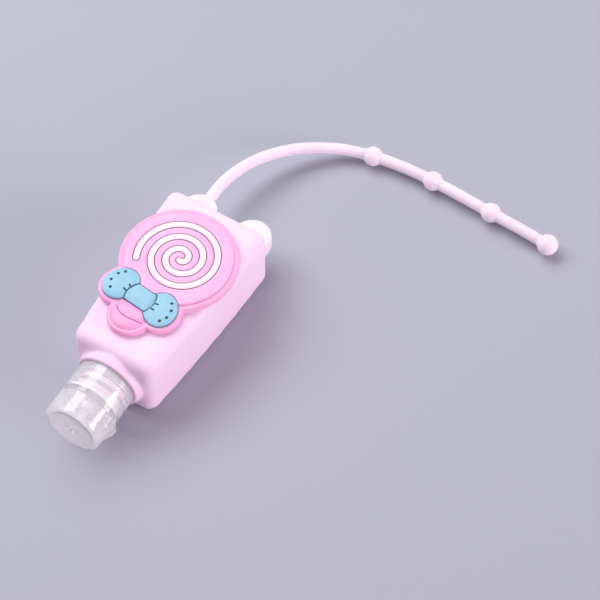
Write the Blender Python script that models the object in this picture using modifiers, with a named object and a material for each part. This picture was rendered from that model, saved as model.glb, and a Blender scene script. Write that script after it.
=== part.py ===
"""Travel bottle in a silicone sleeve, lying on its back with the cap towards -Y.

A clear bottle with a screwed flip-top cap is held in a soft sleeve. The sleeve's front carries a
raised lollipop with a bow, and its far end has a lug with a beaded strap and a lug with an eyelet
that the strap is threaded through. Lengths are in metres.
"""

import math

import bmesh
import bpy
from mathutils import Matrix, Vector

# Sleeve: a tapered block with bowed sides and rounded edges
CASE_LENGTH = 0.0659
CASE_NEAR_WIDTH = 0.0296
CASE_FAR_WIDTH = 0.0374
CASE_THICKNESS = 0.0260
CASE_BULGE = 0.0008
CASE_EDGE = 0.0036
CASE_WALL = 0.0020
CAVITY_EDGE = 0.0026
SIDE_STEPS = 4
EDGE_STEPS = 4
CLEARANCE = 0.0003

# Collar round the neck
COLLAR_REACH = 0.0032
COLLAR_RIM_WALL = 0.0013
COLLAR_ROOT_WALL = 0.0018

# Lugs on the far end: the strap grows out of one, and the other has an eyelet
STRAP_LUG_X = -0.0103
STRAP_LUG_RADIUS = 0.0062
STRAP_LUG_REACH = 0.0083
EYELET_LUG_X = 0.0106
EYELET_LUG_RADIUS = 0.0066
EYELET_LUG_REACH = 0.0088
LUG_THICKNESS = 0.0056
LUG_EDGE = 0.0014
EYELET_RADIUS = 0.0018
EYELET_OUTSET = 0.0005
STRAP_STUB_REACH = 0.0007

# Strap, its three beads and its end ball
STRAP_RADIUS = 0.0020
BEAD_RADIUS = 0.0034
END_BALL_RADIUS = 0.0036

# Lollipop: a rim plate on the sleeve, and a disc with a spiral on it
ART_TILT = math.radians(-5.0)
DISC_FORWARD = 0.0078
RIM_RADIUS = 0.0197
DISC_RADIUS = 0.0180
RIM_HEIGHT = 0.0012
DISC_HEIGHT = 0.0014
ART_EDGE = 0.0005
PAD_HEIGHT = 0.0060
PAD_INSET = 0.0018
SPIRAL_X = 0.0006
SPIRAL_Y = 0.0002
SPIRAL_START = math.radians(-80.0)
SPIRAL_INNER_RADIUS = 0.0009
SPIRAL_PITCH = 0.0048
SPIRAL_TURNS = 2.82
SPIRAL_STEPS = 24
STRIPE_WIDTH = 0.0020
GROOVE_MARGIN = 0.0004
GROOVE_DEPTH = 0.0010
OUTLINE_THICKNESS = 0.0002
STRIPE_PROUD = 0.0002

# Bow, laid across the rim plate's lower edge, and the wrapper tail below it
BOW_LOWER = 0.0
BOW_X = 0.0001
LOOP_OFFSET = 0.0086
LOOP_LENGTH = 0.0112
LOOP_WIDTH = 0.0124
KNOT_LENGTH = 0.0098
KNOT_WIDTH = 0.0074
KNOT_BOW = 0.0010
BOW_HEIGHT = 0.0020
BOW_EDGE = 0.0008
BOW_GAP = 0.0004
BOW_OUTLINE = 0.0003
BOW_FLANGE = 0.0014
TAIL_HALF_WIDTH = 0.0062
TAIL_LOWER = 0.0065
TAIL_LENGTH = 0.0060
TAIL_FLANGE = 0.0011
TAIL_HEIGHT = 0.0014
FOLD_LOWER = 0.0004
FOLD_DEPTH = 0.0009
FOLD_RADIUS = 0.0003

# Bottle
BOTTLE_WALL = 0.0008
NECK_RADIUS = 0.0078
NECK_BORE_RADIUS = 0.0068
NECK_TOP = 0.0108
NECK_RING_RADIUS = 0.0092
NECK_RING_TOP = -0.0006
NECK_RING_THICKNESS = 0.0010

# Cap, with heights counted outwards from the sleeve's near face
CAP_RADIUS = 0.0102
CAP_REACH = 0.0240
CAP_WALL = 0.0011
CAP_START = 0.0003
CAP_SPLIT = 0.0146
GASKET_THICKNESS = 0.0010
DECK_THICKNESS = 0.0012
PLUG_DEPTH = 0.0024
PLUG_WALL = 0.0009
ORIFICE_RADIUS = 0.0015
NOZZLE_WALL = 0.0010
NOZZLE_TOP = 0.0158
PIN_DEPTH = 0.0014
LID_WALL = 0.0011
LID_TOP = 0.0012
LID_ROUND = 0.0016
HINGE_INSET = 0.0001
HINGE_FLAT_INSET = 0.00025
TAB_PROUD = 0.0011
TAB_WIDTH = 0.0072
TAB_LENGTH = 0.0046
TAB_EDGE = 0.0004
SCOOP_DEPTH = 0.0006
SCOOP_LENGTH = 0.0026
TURN_STEPS = 48

# Places that follow from the sizes. The origin is under the middle of the whole without its strap.
LENGTH_WITHOUT_STRAP = CAP_REACH + CASE_LENGTH + STRAP_LUG_REACH + STRAP_STUB_REACH
NEAR_Y = CAP_REACH - LENGTH_WITHOUT_STRAP / 2
FAR_Y = NEAR_Y + CASE_LENGTH
CASE_MID = (NEAR_Y + FAR_Y) / 2
AXIS_Z = CASE_THICKNESS / 2
DISC_Y = CASE_MID + DISC_FORWARD
BOW_BACK = RIM_RADIUS + BOW_LOWER
TAIL_BACK = BOW_BACK + TAIL_LOWER
FOLD_BACK = TAIL_BACK + FOLD_LOWER
COLLAR_BORE_RADIUS = CAP_RADIUS + CLEARANCE
DECK_INSIDE = NECK_TOP + 2 * CLEARANCE + GASKET_THICKNESS
STUB_END_Y = FAR_Y + STRAP_LUG_REACH + STRAP_STUB_REACH

# The strap's route from its stub to its end ball, in metres, and the points that carry a bead
STRAP_ROUTE = (
    (-0.0103, 0.0498, 0.0130),
    (-0.0104, 0.0555, 0.0128),
    (-0.0097, 0.0615, 0.0122),
    (-0.0080, 0.0690, 0.0110),
    (-0.0054, 0.0754, 0.0096),
    (-0.0018, 0.0817, 0.0081),
    (0.0030, 0.0876, 0.0065),
    (0.0086, 0.0924, 0.0051),
    (0.0154, 0.0965, 0.0040),
    (0.0243, 0.0992, 0.0035),
    (0.0355, 0.1007, 0.0035),
    (0.0471, 0.1009, 0.0035),
    (0.0586, 0.1004, 0.0035),
    (0.0704, 0.0997, 0.0035),
    (0.0820, 0.0990, 0.0036),
    (0.0931, 0.0981, 0.0037),
)
BEAD_POINTS = (9, 11, 13)
STRAP_STEP = 0.0070


def clear_scene():
    for item in list(bpy.data.objects):
        bpy.data.objects.remove(item)


def make_collection(name):
    collection = bpy.data.collections.new(name)
    bpy.context.scene.collection.children.link(collection)
    return collection


def make_material(name, colour, roughness, alpha=1.0, transmission=0.0):
    material = bpy.data.materials.new(name)
    material.use_nodes = True
    shader = material.node_tree.nodes["Principled BSDF"]
    shader.inputs["Base Color"].default_value = (*colour, 1.0)
    shader.inputs["Roughness"].default_value = roughness
    shader.inputs["Metallic"].default_value = 0.0
    shader.inputs["Alpha"].default_value = alpha
    shader.inputs["Transmission Weight"].default_value = transmission
    material.diffuse_color = (*colour, alpha)
    return material


def place(mesh, name, collection, material=None):
    """Links a mesh as an object of a collection."""
    item = bpy.data.objects.new(name, mesh)
    collection.objects.link(item)
    if material:
        mesh.materials.append(material)
    return item


def smooth(item, angle=math.radians(35)):
    item.data.shade_smooth()
    item.data.set_sharp_from_angle(angle=angle)


def hide_cutter(item):
    item.hide_render = True
    item.display_type = "WIRE"


def combine(item, other, operation):
    """Adds an exact Boolean with a tool object that isn't part of the model itself."""
    modifier = item.modifiers.new(f"{operation.title()} {other.name}", "BOOLEAN")
    modifier.operation = operation
    modifier.solver = "EXACT"
    modifier.object = other
    hide_cutter(other)


def case_half_width(y):
    """Half the sleeve's width at a place along it."""
    along = (y - NEAR_Y) / CASE_LENGTH
    straight = CASE_NEAR_WIDTH + (CASE_FAR_WIDTH - CASE_NEAR_WIDTH) * along
    bow = CASE_BULGE * (1 - (2 * along - 1) ** 2)
    return straight / 2 + bow


def case_block(name, inset, edge, collection, material=None):
    """The sleeve's tapered block, drawn in by an inset on every side, with its edges rounded."""
    bm = bmesh.new()
    bmesh.ops.create_cube(bm, size=1)
    long_edges = [e for e in bm.edges if abs(e.verts[0].co.y - e.verts[1].co.y) > 0.5]
    bmesh.ops.subdivide_edges(bm, edges=long_edges, cuts=SIDE_STEPS - 1, use_grid_fill=True)
    for vert in bm.verts:
        y = CASE_MID + vert.co.y * (CASE_LENGTH - 2 * inset)
        side = 2 * vert.co.x * (case_half_width(y) - inset)
        vert.co = Vector((side, y, AXIS_Z + vert.co.z * (CASE_THICKNESS - 2 * inset)))
    mesh = bpy.data.meshes.new(name)
    bm.to_mesh(mesh)
    bm.free()
    item = place(mesh, name, collection, material)
    rounding = item.modifiers.new("Rounded edges", "BEVEL")
    rounding.width = edge
    rounding.segments = EDGE_STEPS
    rounding.limit_method = "ANGLE"
    rounding.angle_limit = math.radians(45)
    return item


def turned(name, profile, closed, collection, material=None, steps=TURN_STEPS):
    """Turns a profile of (radius, height) about the cap's axis, with height outwards from the sleeve."""
    mesh = bpy.data.meshes.new(name)
    bm = bmesh.new()
    verts = [bm.verts.new((radius, 0.0, height)) for radius, height in profile]
    for first, second in zip(verts, verts[1:]):
        bm.edges.new((first, second))
    if closed:
        bm.edges.new((verts[-1], verts[0]))
    bm.to_mesh(mesh)
    bm.free()
    item = place(mesh, name, collection, material)
    item.location = (0.0, NEAR_Y, AXIS_Z)
    item.rotation_euler = (math.pi / 2, 0.0, 0.0)
    screw = item.modifiers.new("Turn", "SCREW")
    screw.steps = steps
    screw.render_steps = steps
    screw.use_merge_vertices = True
    screw.merge_threshold = 0.00001
    return item


def cylinder(name, radius, start, end, collection, steps=TURN_STEPS):
    """A cylinder between two points, as a tool for Booleans.

    It is turned by half a step, so that its edges never run into those of a turned piece.
    """
    axis = Vector(end) - Vector(start)
    bm = bmesh.new()
    half_step = Matrix.Rotation(math.pi / steps, 4, "Z")
    turn = axis.to_track_quat("Z", "Y").to_matrix().to_4x4() @ half_step
    middle = Matrix.Translation((Vector(start) + Vector(end)) / 2)
    bmesh.ops.create_cone(
        bm, cap_ends=True, segments=steps, radius1=radius, radius2=radius,
        depth=axis.length, matrix=middle @ turn,
    )
    mesh = bpy.data.meshes.new(name)
    bm.to_mesh(mesh)
    bm.free()
    return place(mesh, name, collection)


def block(name, low, high, collection):
    """A box between two corners, as a tool for Booleans."""
    low, high = Vector(low), Vector(high)
    bm = bmesh.new()
    size = Matrix.Diagonal((*(high - low), 1.0))
    bmesh.ops.create_cube(bm, size=1, matrix=Matrix.Translation((low + high) / 2) @ size)
    mesh = bpy.data.meshes.new(name)
    bm.to_mesh(mesh)
    bm.free()
    return place(mesh, name, collection)


def curve_to_mesh(curve, name, collection, material=None):
    """Turns a curve into a welded mesh object with its faces pointing out."""
    drawn = bpy.data.objects.new(name, curve)
    collection.objects.link(drawn)
    bpy.context.view_layer.update()
    graph = bpy.context.evaluated_depsgraph_get()
    mesh = bpy.data.meshes.new_from_object(drawn.evaluated_get(graph))
    matrix = drawn.matrix_world.copy()
    bpy.data.objects.remove(drawn)
    bpy.data.curves.remove(curve)
    bm = bmesh.new()
    bm.from_mesh(mesh)
    bmesh.ops.remove_doubles(bm, verts=bm.verts, dist=0.000002)
    bmesh.ops.dissolve_degenerate(bm, edges=bm.edges, dist=0.000001)
    bmesh.ops.recalc_face_normals(bm, faces=bm.faces)
    bm.to_mesh(mesh)
    bm.free()
    mesh.name = name
    mesh.materials.clear()
    item = place(mesh, name, collection, material)
    item.matrix_world = matrix
    return item


def plate(name, outline, bottom, top, edge, collection, material=None, steps=2):
    """A flat piece: its outline extruded between two heights, with both rims rounded."""
    curve = bpy.data.curves.new(name, "CURVE")
    curve.dimensions = "2D"
    curve.fill_mode = "BOTH"
    curve.extrude = (top - bottom) / 2 - edge
    curve.bevel_depth = edge
    curve.bevel_resolution = steps
    curve.offset = -edge
    spline = curve.splines.new("POLY")
    spline.points.add(len(outline) - 1)
    for point, (x, y) in zip(spline.points, outline):
        point.co = (x, y, 0.0, 1.0)
    spline.use_cyclic_u = True
    item = curve_to_mesh(curve, name, collection, material)
    item.data.transform(Matrix.Translation((0.0, 0.0, (bottom + top) / 2)))
    return item


def arc(centre, radius, start, end, steps):
    """Points along an arc, ends included."""
    turns = [start + (end - start) * step / steps for step in range(steps + 1)]
    return [(centre[0] + radius * math.cos(t), centre[1] + radius * math.sin(t)) for t in turns]


def circle(centre, radius, steps):
    return arc(centre, radius, 0.0, 2 * math.pi, steps)[:-1]


def art_point(x, y):
    """A place on the lollipop, given from the disc's centre, in the sleeve's frame."""
    turned_x = x * math.cos(ART_TILT) - y * math.sin(ART_TILT)
    turned_y = x * math.sin(ART_TILT) + y * math.cos(ART_TILT)
    return (turned_x, DISC_Y + turned_y)


def art_outline(points):
    return [art_point(x, y) for x, y in points]


def lug_outline(centre_x, radius, reach):
    """A lug with a round end, whose straight sides run into the sleeve's end wall."""
    root_y = FAR_Y - CASE_WALL
    end = arc((centre_x, FAR_Y + reach - radius), radius, 0.0, math.pi, 12)
    return [(centre_x + radius, root_y), *end, (centre_x - radius, root_y)]


def base_plates(name, inset, bottom, top, edge, steps, collection):
    """The lollipop's base as three plates: under the disc, under the bow and under the tail."""
    outlines = (
        ("disc", circle((0.0, DISC_Y), RIM_RADIUS - inset, 64)),
        ("bow", art_outline(bow_points(BOW_FLANGE - inset))),
        ("tail", art_outline(tail_points(TAIL_FLANGE - inset))),
    )
    return [
        plate(f"{name} {part}", outline, bottom, top, edge, collection, steps=steps)
        for part, outline in outlines
    ]


def loop_points(side, grow):
    """A bow loop as an oval, later cut by the knot. Side is -1 for the left, 1 for the right."""
    turns = [2 * math.pi * step / 28 for step in range(28)]
    centre_x = BOW_X + side * LOOP_OFFSET
    half_length, half_width = LOOP_LENGTH / 2 + grow, LOOP_WIDTH / 2 + grow
    return [(centre_x + half_length * math.cos(t), half_width * math.sin(t) - BOW_BACK) for t in turns]


def knot_points(grow):
    """The knot: straight long sides, and ends that bow outwards."""
    half_length = KNOT_LENGTH / 2 + grow
    half_width = KNOT_WIDTH / 2 + grow
    across = [2 * step / 8 - 1 for step in range(9)]
    right = [(half_length - KNOT_BOW * share ** 2, half_width * share) for share in across]
    left = [(-x, -y) for x, y in right]
    return [(BOW_X + x, y - BOW_BACK) for x, y in right + left]


def bow_points(grow):
    """The whole bow's outline: both loops' outer parts, joined by a waist along the knot."""
    waist_x = KNOT_LENGTH / 2 - KNOT_BOW
    half_waist = KNOT_WIDTH / 2 + grow
    right = [(x - BOW_X, y + BOW_BACK) for x, y in loop_points(1, grow)]
    right = [(x, y) for x, y in right if x > waist_x and (x > LOOP_OFFSET or abs(y) > half_waist)]
    right.sort(key=lambda point: math.atan2(point[1], point[0] - LOOP_OFFSET))
    right = [(waist_x, -half_waist), *right, (waist_x, half_waist)]
    left = [(-x, -y) for x, y in right]
    return [(BOW_X + x, y - BOW_BACK) for x, y in right + left]


def tail_points(grow):
    """The gathered wrapper: a half oval that hangs from the bow's lower side."""
    half = TAIL_HALF_WIDTH + grow
    length = TAIL_LENGTH + grow
    turns = [math.pi + math.pi * step / 18 for step in range(19)]
    lower = [(BOW_X + half * math.cos(t), length * math.sin(t) - TAIL_BACK) for t in turns]
    top_y = -BOW_BACK - KNOT_WIDTH / 2
    return [*lower, (BOW_X + half * 0.9, top_y), (BOW_X - half * 0.9, top_y)]


def spiral_points(width):
    """A band of one width along the spiral, with round ends."""
    count = round(SPIRAL_TURNS * SPIRAL_STEPS)
    centre = Vector(art_point(SPIRAL_X, SPIRAL_Y))
    line = []
    for step in range(count + 1):
        turns = SPIRAL_TURNS * step / count
        angle = SPIRAL_START + ART_TILT + 2 * math.pi * turns
        radius = SPIRAL_INNER_RADIUS + SPIRAL_PITCH * turns
        line.append(centre + radius * Vector((math.cos(angle), math.sin(angle))))
    outer, inner = [], []
    for step, point in enumerate(line):
        heading = (line[min(step + 1, count)] - line[max(step - 1, 0)]).normalized()
        aside = Vector((heading.y, -heading.x)) * width / 2
        outer.append(point + aside)
        # Close to its middle the spiral turns more sharply than its inner side can follow
        if min((point - aside - other).length for other in line) > 0.48 * width:
            inner.append(point - aside)
    ends = []
    for point, edge in ((line[-1], outer[-1]), (line[0], 2 * line[0] - outer[0])):
        first = math.atan2(edge.y - point.y, edge.x - point.x)
        ends.append(arc(point, width / 2, first, first + math.pi, 6)[1:-1])
    return [tuple(point) for point in (*outer, *ends[0], *reversed(inner), *ends[1])]


def build_sleeve(parts, tools, silicone):
    """The soft sleeve: a hollow block with a collar, two lugs and pads under the lollipop."""
    sleeve = case_block("sleeve", 0.0, CASE_EDGE, parts, silicone)
    rim = COLLAR_BORE_RADIUS + COLLAR_RIM_WALL
    rounding = COLLAR_RIM_WALL * 0.45
    inside = COLLAR_BORE_RADIUS - CASE_WALL
    collar_profile = [
        (inside, COLLAR_REACH),
        *[(rim - rounding + r, COLLAR_REACH - rounding + h)
          for r, h in arc((0, 0), rounding, math.pi / 2, 0, 3)],
        (COLLAR_BORE_RADIUS + COLLAR_ROOT_WALL, 0.0),
        (COLLAR_BORE_RADIUS + COLLAR_ROOT_WALL, -CASE_WALL),
        (inside, -CASE_WALL),
    ]
    combine(sleeve, turned("collar form", collar_profile, True, tools), "UNION")
    lug_low, lug_high = AXIS_Z - LUG_THICKNESS / 2, AXIS_Z + LUG_THICKNESS / 2
    strap_lug = lug_outline(STRAP_LUG_X, STRAP_LUG_RADIUS, STRAP_LUG_REACH)
    eyelet_lug = lug_outline(EYELET_LUG_X, EYELET_LUG_RADIUS, EYELET_LUG_REACH)
    for name, outline in (("strap lug", strap_lug), ("eyelet lug", eyelet_lug)):
        combine(sleeve, plate(name, outline, lug_low, lug_high, LUG_EDGE, tools), "UNION")
    stub_start = (STRAP_LUG_X, STUB_END_Y - STRAP_LUG_RADIUS, AXIS_Z)
    stub = cylinder("strap stub", STRAP_RADIUS, stub_start, (STRAP_LUG_X, STUB_END_Y, AXIS_Z),
                    tools, steps=20)
    combine(sleeve, stub, "UNION")
    for pad in base_plates("pad", PAD_INSET, CASE_THICKNESS - PAD_HEIGHT, CASE_THICKNESS, 0.0, 0, tools):
        combine(sleeve, pad, "UNION")
    combine(sleeve, case_block("cavity", CASE_WALL, CAVITY_EDGE, tools), "DIFFERENCE")
    bore = cylinder("collar bore", COLLAR_BORE_RADIUS, (0.0, NEAR_Y + 2 * CASE_WALL, AXIS_Z),
                    (0.0, NEAR_Y - 2 * COLLAR_REACH, AXIS_Z), tools)
    combine(sleeve, bore, "DIFFERENCE")
    eyelet_y = FAR_Y + EYELET_LUG_REACH - EYELET_LUG_RADIUS + EYELET_OUTSET
    eyelet = cylinder("eyelet", EYELET_RADIUS, (EYELET_LUG_X, eyelet_y, 0.0),
                      (EYELET_LUG_X, eyelet_y, CASE_THICKNESS), tools, steps=24)
    combine(sleeve, eyelet, "DIFFERENCE")
    smooth(sleeve)


def build_lollipop(parts, tools, materials):
    """Rim plate, disc, and the spiral's white stripe on its dark outline in the disc's groove."""
    rim_low = CASE_THICKNESS + CLEARANCE
    rim_high = rim_low + RIM_HEIGHT
    shapes = base_plates("rim", 0.0, rim_low, rim_high, ART_EDGE, 1, tools)
    base = block("lollipop_rim", (-LOOP_WIDTH / 2, DISC_Y - BOW_BACK, rim_low + ART_EDGE),
                 (LOOP_WIDTH / 2, DISC_Y, rim_high - ART_EDGE), parts)
    base.data.materials.append(materials["rim"])
    for shape in shapes:
        combine(base, shape, "UNION")
    smooth(base)
    disc_low = rim_high + CLEARANCE
    disc_high = disc_low + DISC_HEIGHT
    disc = plate("lollipop_disc", circle((0.0, DISC_Y), DISC_RADIUS, 72), disc_low, disc_high,
                 ART_EDGE, parts, materials["disc"])
    floor = disc_high - GROOVE_DEPTH
    groove_width = STRIPE_WIDTH + 2 * GROOVE_MARGIN
    groove = plate("spiral groove", spiral_points(groove_width), floor, disc_high + DISC_HEIGHT,
                   0.0, tools)
    combine(disc, groove, "DIFFERENCE")
    bow_room = plate("bow room", art_outline(bow_points(BOW_OUTLINE + CLEARANCE)),
                     disc_low - DISC_HEIGHT, disc_high + DISC_HEIGHT, 0.0, tools)
    combine(disc, bow_room, "DIFFERENCE")
    smooth(disc)
    under_low = floor + CLEARANCE
    under_high = under_low + OUTLINE_THICKNESS
    plate("swirl_outline", spiral_points(groove_width - 2 * CLEARANCE), under_low, under_high, 0.0,
          parts, materials["mauve"])
    plate("swirl_stripe", spiral_points(STRIPE_WIDTH), under_high + CLEARANCE,
          disc_high + STRIPE_PROUD, 0.0, parts, materials["white"])


def build_bow(parts, tools, materials):
    """Two loops and a knot on a dark outline plate, and the gathered wrapper below them."""
    base = CASE_THICKNESS + CLEARANCE + RIM_HEIGHT + CLEARANCE
    plate("bow_outline", art_outline(bow_points(BOW_OUTLINE)), base, base + BOW_OUTLINE, 0.0,
          parts, materials["dark"])
    low = base + BOW_OUTLINE + CLEARANCE
    high = low + BOW_HEIGHT
    knot_room = plate("knot room", art_outline(knot_points(BOW_GAP)), base - BOW_HEIGHT,
                      high + BOW_HEIGHT, 0.0, tools)
    for name, side in (("bow_left_loop", -1), ("bow_right_loop", 1)):
        loop = plate(name, art_outline(loop_points(side, 0.0)), low, high, BOW_EDGE, parts,
                     materials["bow"], steps=3)
        combine(loop, knot_room, "DIFFERENCE")
        smooth(loop)
    knot = plate("bow_knot", art_outline(knot_points(0.0)), low, high, BOW_EDGE, parts,
                 materials["bow"], steps=3)
    smooth(knot)
    tail = plate("wrapper_tail", art_outline(tail_points(0.0)), base, base + TAIL_HEIGHT,
                 ART_EDGE, parts, materials["disc"])
    bow_room = plate("tail room", art_outline(bow_points(BOW_OUTLINE + CLEARANCE)),
                     base - TAIL_HEIGHT, base + 2 * TAIL_HEIGHT, 0.0, tools)
    combine(tail, bow_room, "DIFFERENCE")
    combine(tail, build_fold(tools, base + TAIL_HEIGHT), "DIFFERENCE")
    smooth(tail)


def build_fold(tools, height):
    """The crease across the wrapper, as a bent round bar that sinks half into its face."""
    steps = 10
    points = []
    for step in range(steps + 1):
        across = 2 * step / steps - 1
        x = BOW_X + 1.2 * TAIL_HALF_WIDTH * across
        y = -FOLD_BACK - FOLD_DEPTH * (1 - across ** 2)
        points.append((*art_point(x, y), height))
    return curve_to_mesh(tube("fold", points, FOLD_RADIUS, 1), "fold", tools)


def build_bottle(parts, tools, plastic):
    """The clear bottle: a thin-walled body that fills the sleeve, and a neck with a ring."""
    inset = CASE_WALL + CLEARANCE
    bottle = case_block("bottle", inset, CAVITY_EDGE, parts, plastic)
    root = -inset - BOTTLE_WALL / 2
    ring_low = NECK_RING_TOP - NECK_RING_THICKNESS
    form_inside = NECK_BORE_RADIUS - BOTTLE_WALL
    neck_profile = [
        (form_inside, NECK_TOP),
        (NECK_RADIUS, NECK_TOP),
        (NECK_RADIUS, NECK_RING_TOP),
        (NECK_RING_RADIUS, NECK_RING_TOP),
        (NECK_RING_RADIUS, ring_low),
        (NECK_RADIUS, ring_low),
        (NECK_RADIUS, root),
        (form_inside, root),
    ]
    combine(bottle, turned("neck form", neck_profile, True, tools), "UNION")
    inside = case_block("bottle inside", inset + BOTTLE_WALL, CAVITY_EDGE - BOTTLE_WALL, tools)
    combine(bottle, inside, "DIFFERENCE")
    bore = cylinder("mouth", NECK_BORE_RADIUS, (0.0, NEAR_Y + inset + 3 * BOTTLE_WALL, AXIS_Z),
                    (0.0, NEAR_Y - 2 * NECK_TOP, AXIS_Z), tools)
    combine(bottle, bore, "DIFFERENCE")
    smooth(bottle)


def build_cap(parts, tools, materials):
    """Sealing washer, screwed cap with a nozzle, and the flip lid with its pin and thumb tab."""
    gasket_low = NECK_TOP + CLEARANCE
    gasket_high = gasket_low + GASKET_THICKNESS
    skirt_inside = CAP_RADIUS - CAP_WALL
    gasket = turned("cap_gasket", [
        (NECK_BORE_RADIUS, gasket_high),
        (skirt_inside - CLEARANCE, gasket_high),
        (skirt_inside - CLEARANCE, gasket_low),
        (NECK_BORE_RADIUS, gasket_low),
    ], True, parts, materials["gasket"])
    smooth(gasket)
    deck_out = DECK_INSIDE + DECK_THICKNESS
    rim_top = CAP_SPLIT - CLEARANCE / 2
    rim_bottom = CAP_SPLIT + CLEARANCE / 2
    rim_inside = CAP_RADIUS - LID_WALL
    plug_radius = NECK_BORE_RADIUS - CLEARANCE
    nozzle_radius = ORIFICE_RADIUS + NOZZLE_WALL
    base = turned("cap_base", [
        (ORIFICE_RADIUS, NOZZLE_TOP),
        (nozzle_radius * 0.9, NOZZLE_TOP),
        (nozzle_radius, NOZZLE_TOP - NOZZLE_WALL / 2),
        (nozzle_radius + NOZZLE_WALL / 2, deck_out),
        (rim_inside, deck_out),
        (rim_inside, rim_top),
        (CAP_RADIUS, rim_top),
        (CAP_RADIUS, CAP_START),
        (skirt_inside, CAP_START),
        (skirt_inside, DECK_INSIDE),
        (plug_radius, DECK_INSIDE),
        (plug_radius, DECK_INSIDE - PLUG_DEPTH + PLUG_WALL / 2),
        (plug_radius - PLUG_WALL / 2, DECK_INSIDE - PLUG_DEPTH),
        (plug_radius - PLUG_WALL, DECK_INSIDE - PLUG_DEPTH),
        (plug_radius - PLUG_WALL, DECK_INSIDE),
        (ORIFICE_RADIUS, DECK_INSIDE),
    ], True, parts, materials["cap"])
    flat_x = -CAP_RADIUS + HINGE_FLAT_INSET
    split_y = NEAR_Y - CAP_SPLIT
    flat = block("hinge flat", (-2 * CAP_RADIUS, split_y - TAB_LENGTH, AXIS_Z - CAP_RADIUS),
                 (flat_x, split_y + TAB_LENGTH, AXIS_Z + CAP_RADIUS), tools)
    scoop = block("thumb scoop", (CAP_RADIUS - SCOOP_DEPTH, split_y - CLEARANCE, AXIS_Z - TAB_WIDTH / 2),
                  (2 * CAP_RADIUS, split_y + SCOOP_LENGTH, AXIS_Z + TAB_WIDTH / 2), tools)
    combine(base, scoop, "DIFFERENCE")
    combine(base, flat, "DIFFERENCE")
    smooth(base)

    pin_radius = ORIFICE_RADIUS - CLEARANCE
    pin_end = NOZZLE_TOP - PIN_DEPTH
    ceiling = CAP_REACH - LID_TOP
    lid = turned("cap_lid", [
        (0.0, CAP_REACH),
        (CAP_RADIUS - LID_ROUND, CAP_REACH),
        *[(CAP_RADIUS - LID_ROUND + r, CAP_REACH - LID_ROUND + h)
          for r, h in arc((0, 0), LID_ROUND, math.pi / 2, 0, 4)[1:]],
        (CAP_RADIUS, rim_bottom),
        (rim_inside, rim_bottom),
        (rim_inside, ceiling),
        (pin_radius * 1.5, ceiling),
        (pin_radius, ceiling - LID_TOP),
        (pin_radius, pin_end + pin_radius / 2),
        (pin_radius / 2, pin_end),
        (0.0, pin_end),
    ], False, parts, materials["cap"])
    tab_root = split_y - CLEARANCE / 2
    tab_outline = [
        (CAP_RADIUS - LID_WALL, tab_root),
        (CAP_RADIUS - LID_WALL, tab_root - TAB_LENGTH),
        (CAP_RADIUS, tab_root - TAB_LENGTH),
        (CAP_RADIUS + TAB_PROUD, tab_root - TAB_LENGTH * 0.4),
        (CAP_RADIUS + TAB_PROUD, tab_root),
    ]
    tab = plate("thumb tab", tab_outline, AXIS_Z - TAB_WIDTH / 2, AXIS_Z + TAB_WIDTH / 2, TAB_EDGE,
                tools, steps=1)
    hollow = cylinder("lid hollow", CAP_RADIUS - LID_WALL / 2, (0.0, NEAR_Y - ceiling, AXIS_Z),
                      (0.0, split_y + TAB_LENGTH, AXIS_Z), tools)
    combine(tab, hollow, "DIFFERENCE")
    combine(lid, tab, "UNION")
    combine(lid, flat, "DIFFERENCE")
    smooth(lid)
    hinge = bpy.data.objects.new("lid_hinge", None)
    hinge.location = (-CAP_RADIUS + HINGE_INSET, split_y, AXIS_Z)
    parts.objects.link(hinge)
    bpy.context.view_layer.update()
    lid.parent = hinge
    lid.matrix_parent_inverse = hinge.matrix_world.inverted()


def smooth_route(points, step):
    """Points at even steps along a smooth curve through the given ones."""
    knots = [Vector(point) for point in points]
    padded = [2 * knots[0] - knots[1], *knots, 2 * knots[-1] - knots[-2]]
    fine = []
    for a, b, c, d in zip(padded, padded[1:], padded[2:], padded[3:]):
        for part in range(12):
            t = part / 12
            fine.append(0.5 * (2 * b + (c - a) * t + (2 * a - 5 * b + 4 * c - d) * t ** 2
                               + (3 * b - a - 3 * c + d) * t ** 3))
    fine.append(knots[-1])
    total = sum((second - first).length for first, second in zip(fine, fine[1:]))
    count = round(total / step)
    picked, walked, index = [fine[0]], 0.0, 0
    for number in range(1, count):
        target = total * number / count
        while walked + (fine[index + 1] - fine[index]).length < target:
            walked += (fine[index + 1] - fine[index]).length
            index += 1
        span = fine[index + 1] - fine[index]
        picked.append(fine[index] + span * ((target - walked) / span.length))
    return [*picked, fine[-1]]


def tube(name, points, radius, steps):
    """A round bar along points, as a curve with closed ends."""
    curve = bpy.data.curves.new(name, "CURVE")
    curve.dimensions = "3D"
    curve.bevel_depth = radius
    curve.bevel_resolution = steps
    curve.use_fill_caps = True
    spline = curve.splines.new("POLY")
    spline.points.add(len(points) - 1)
    for point, place_on in zip(spline.points, points):
        point.co = (*place_on, 1.0)
    return curve


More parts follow.
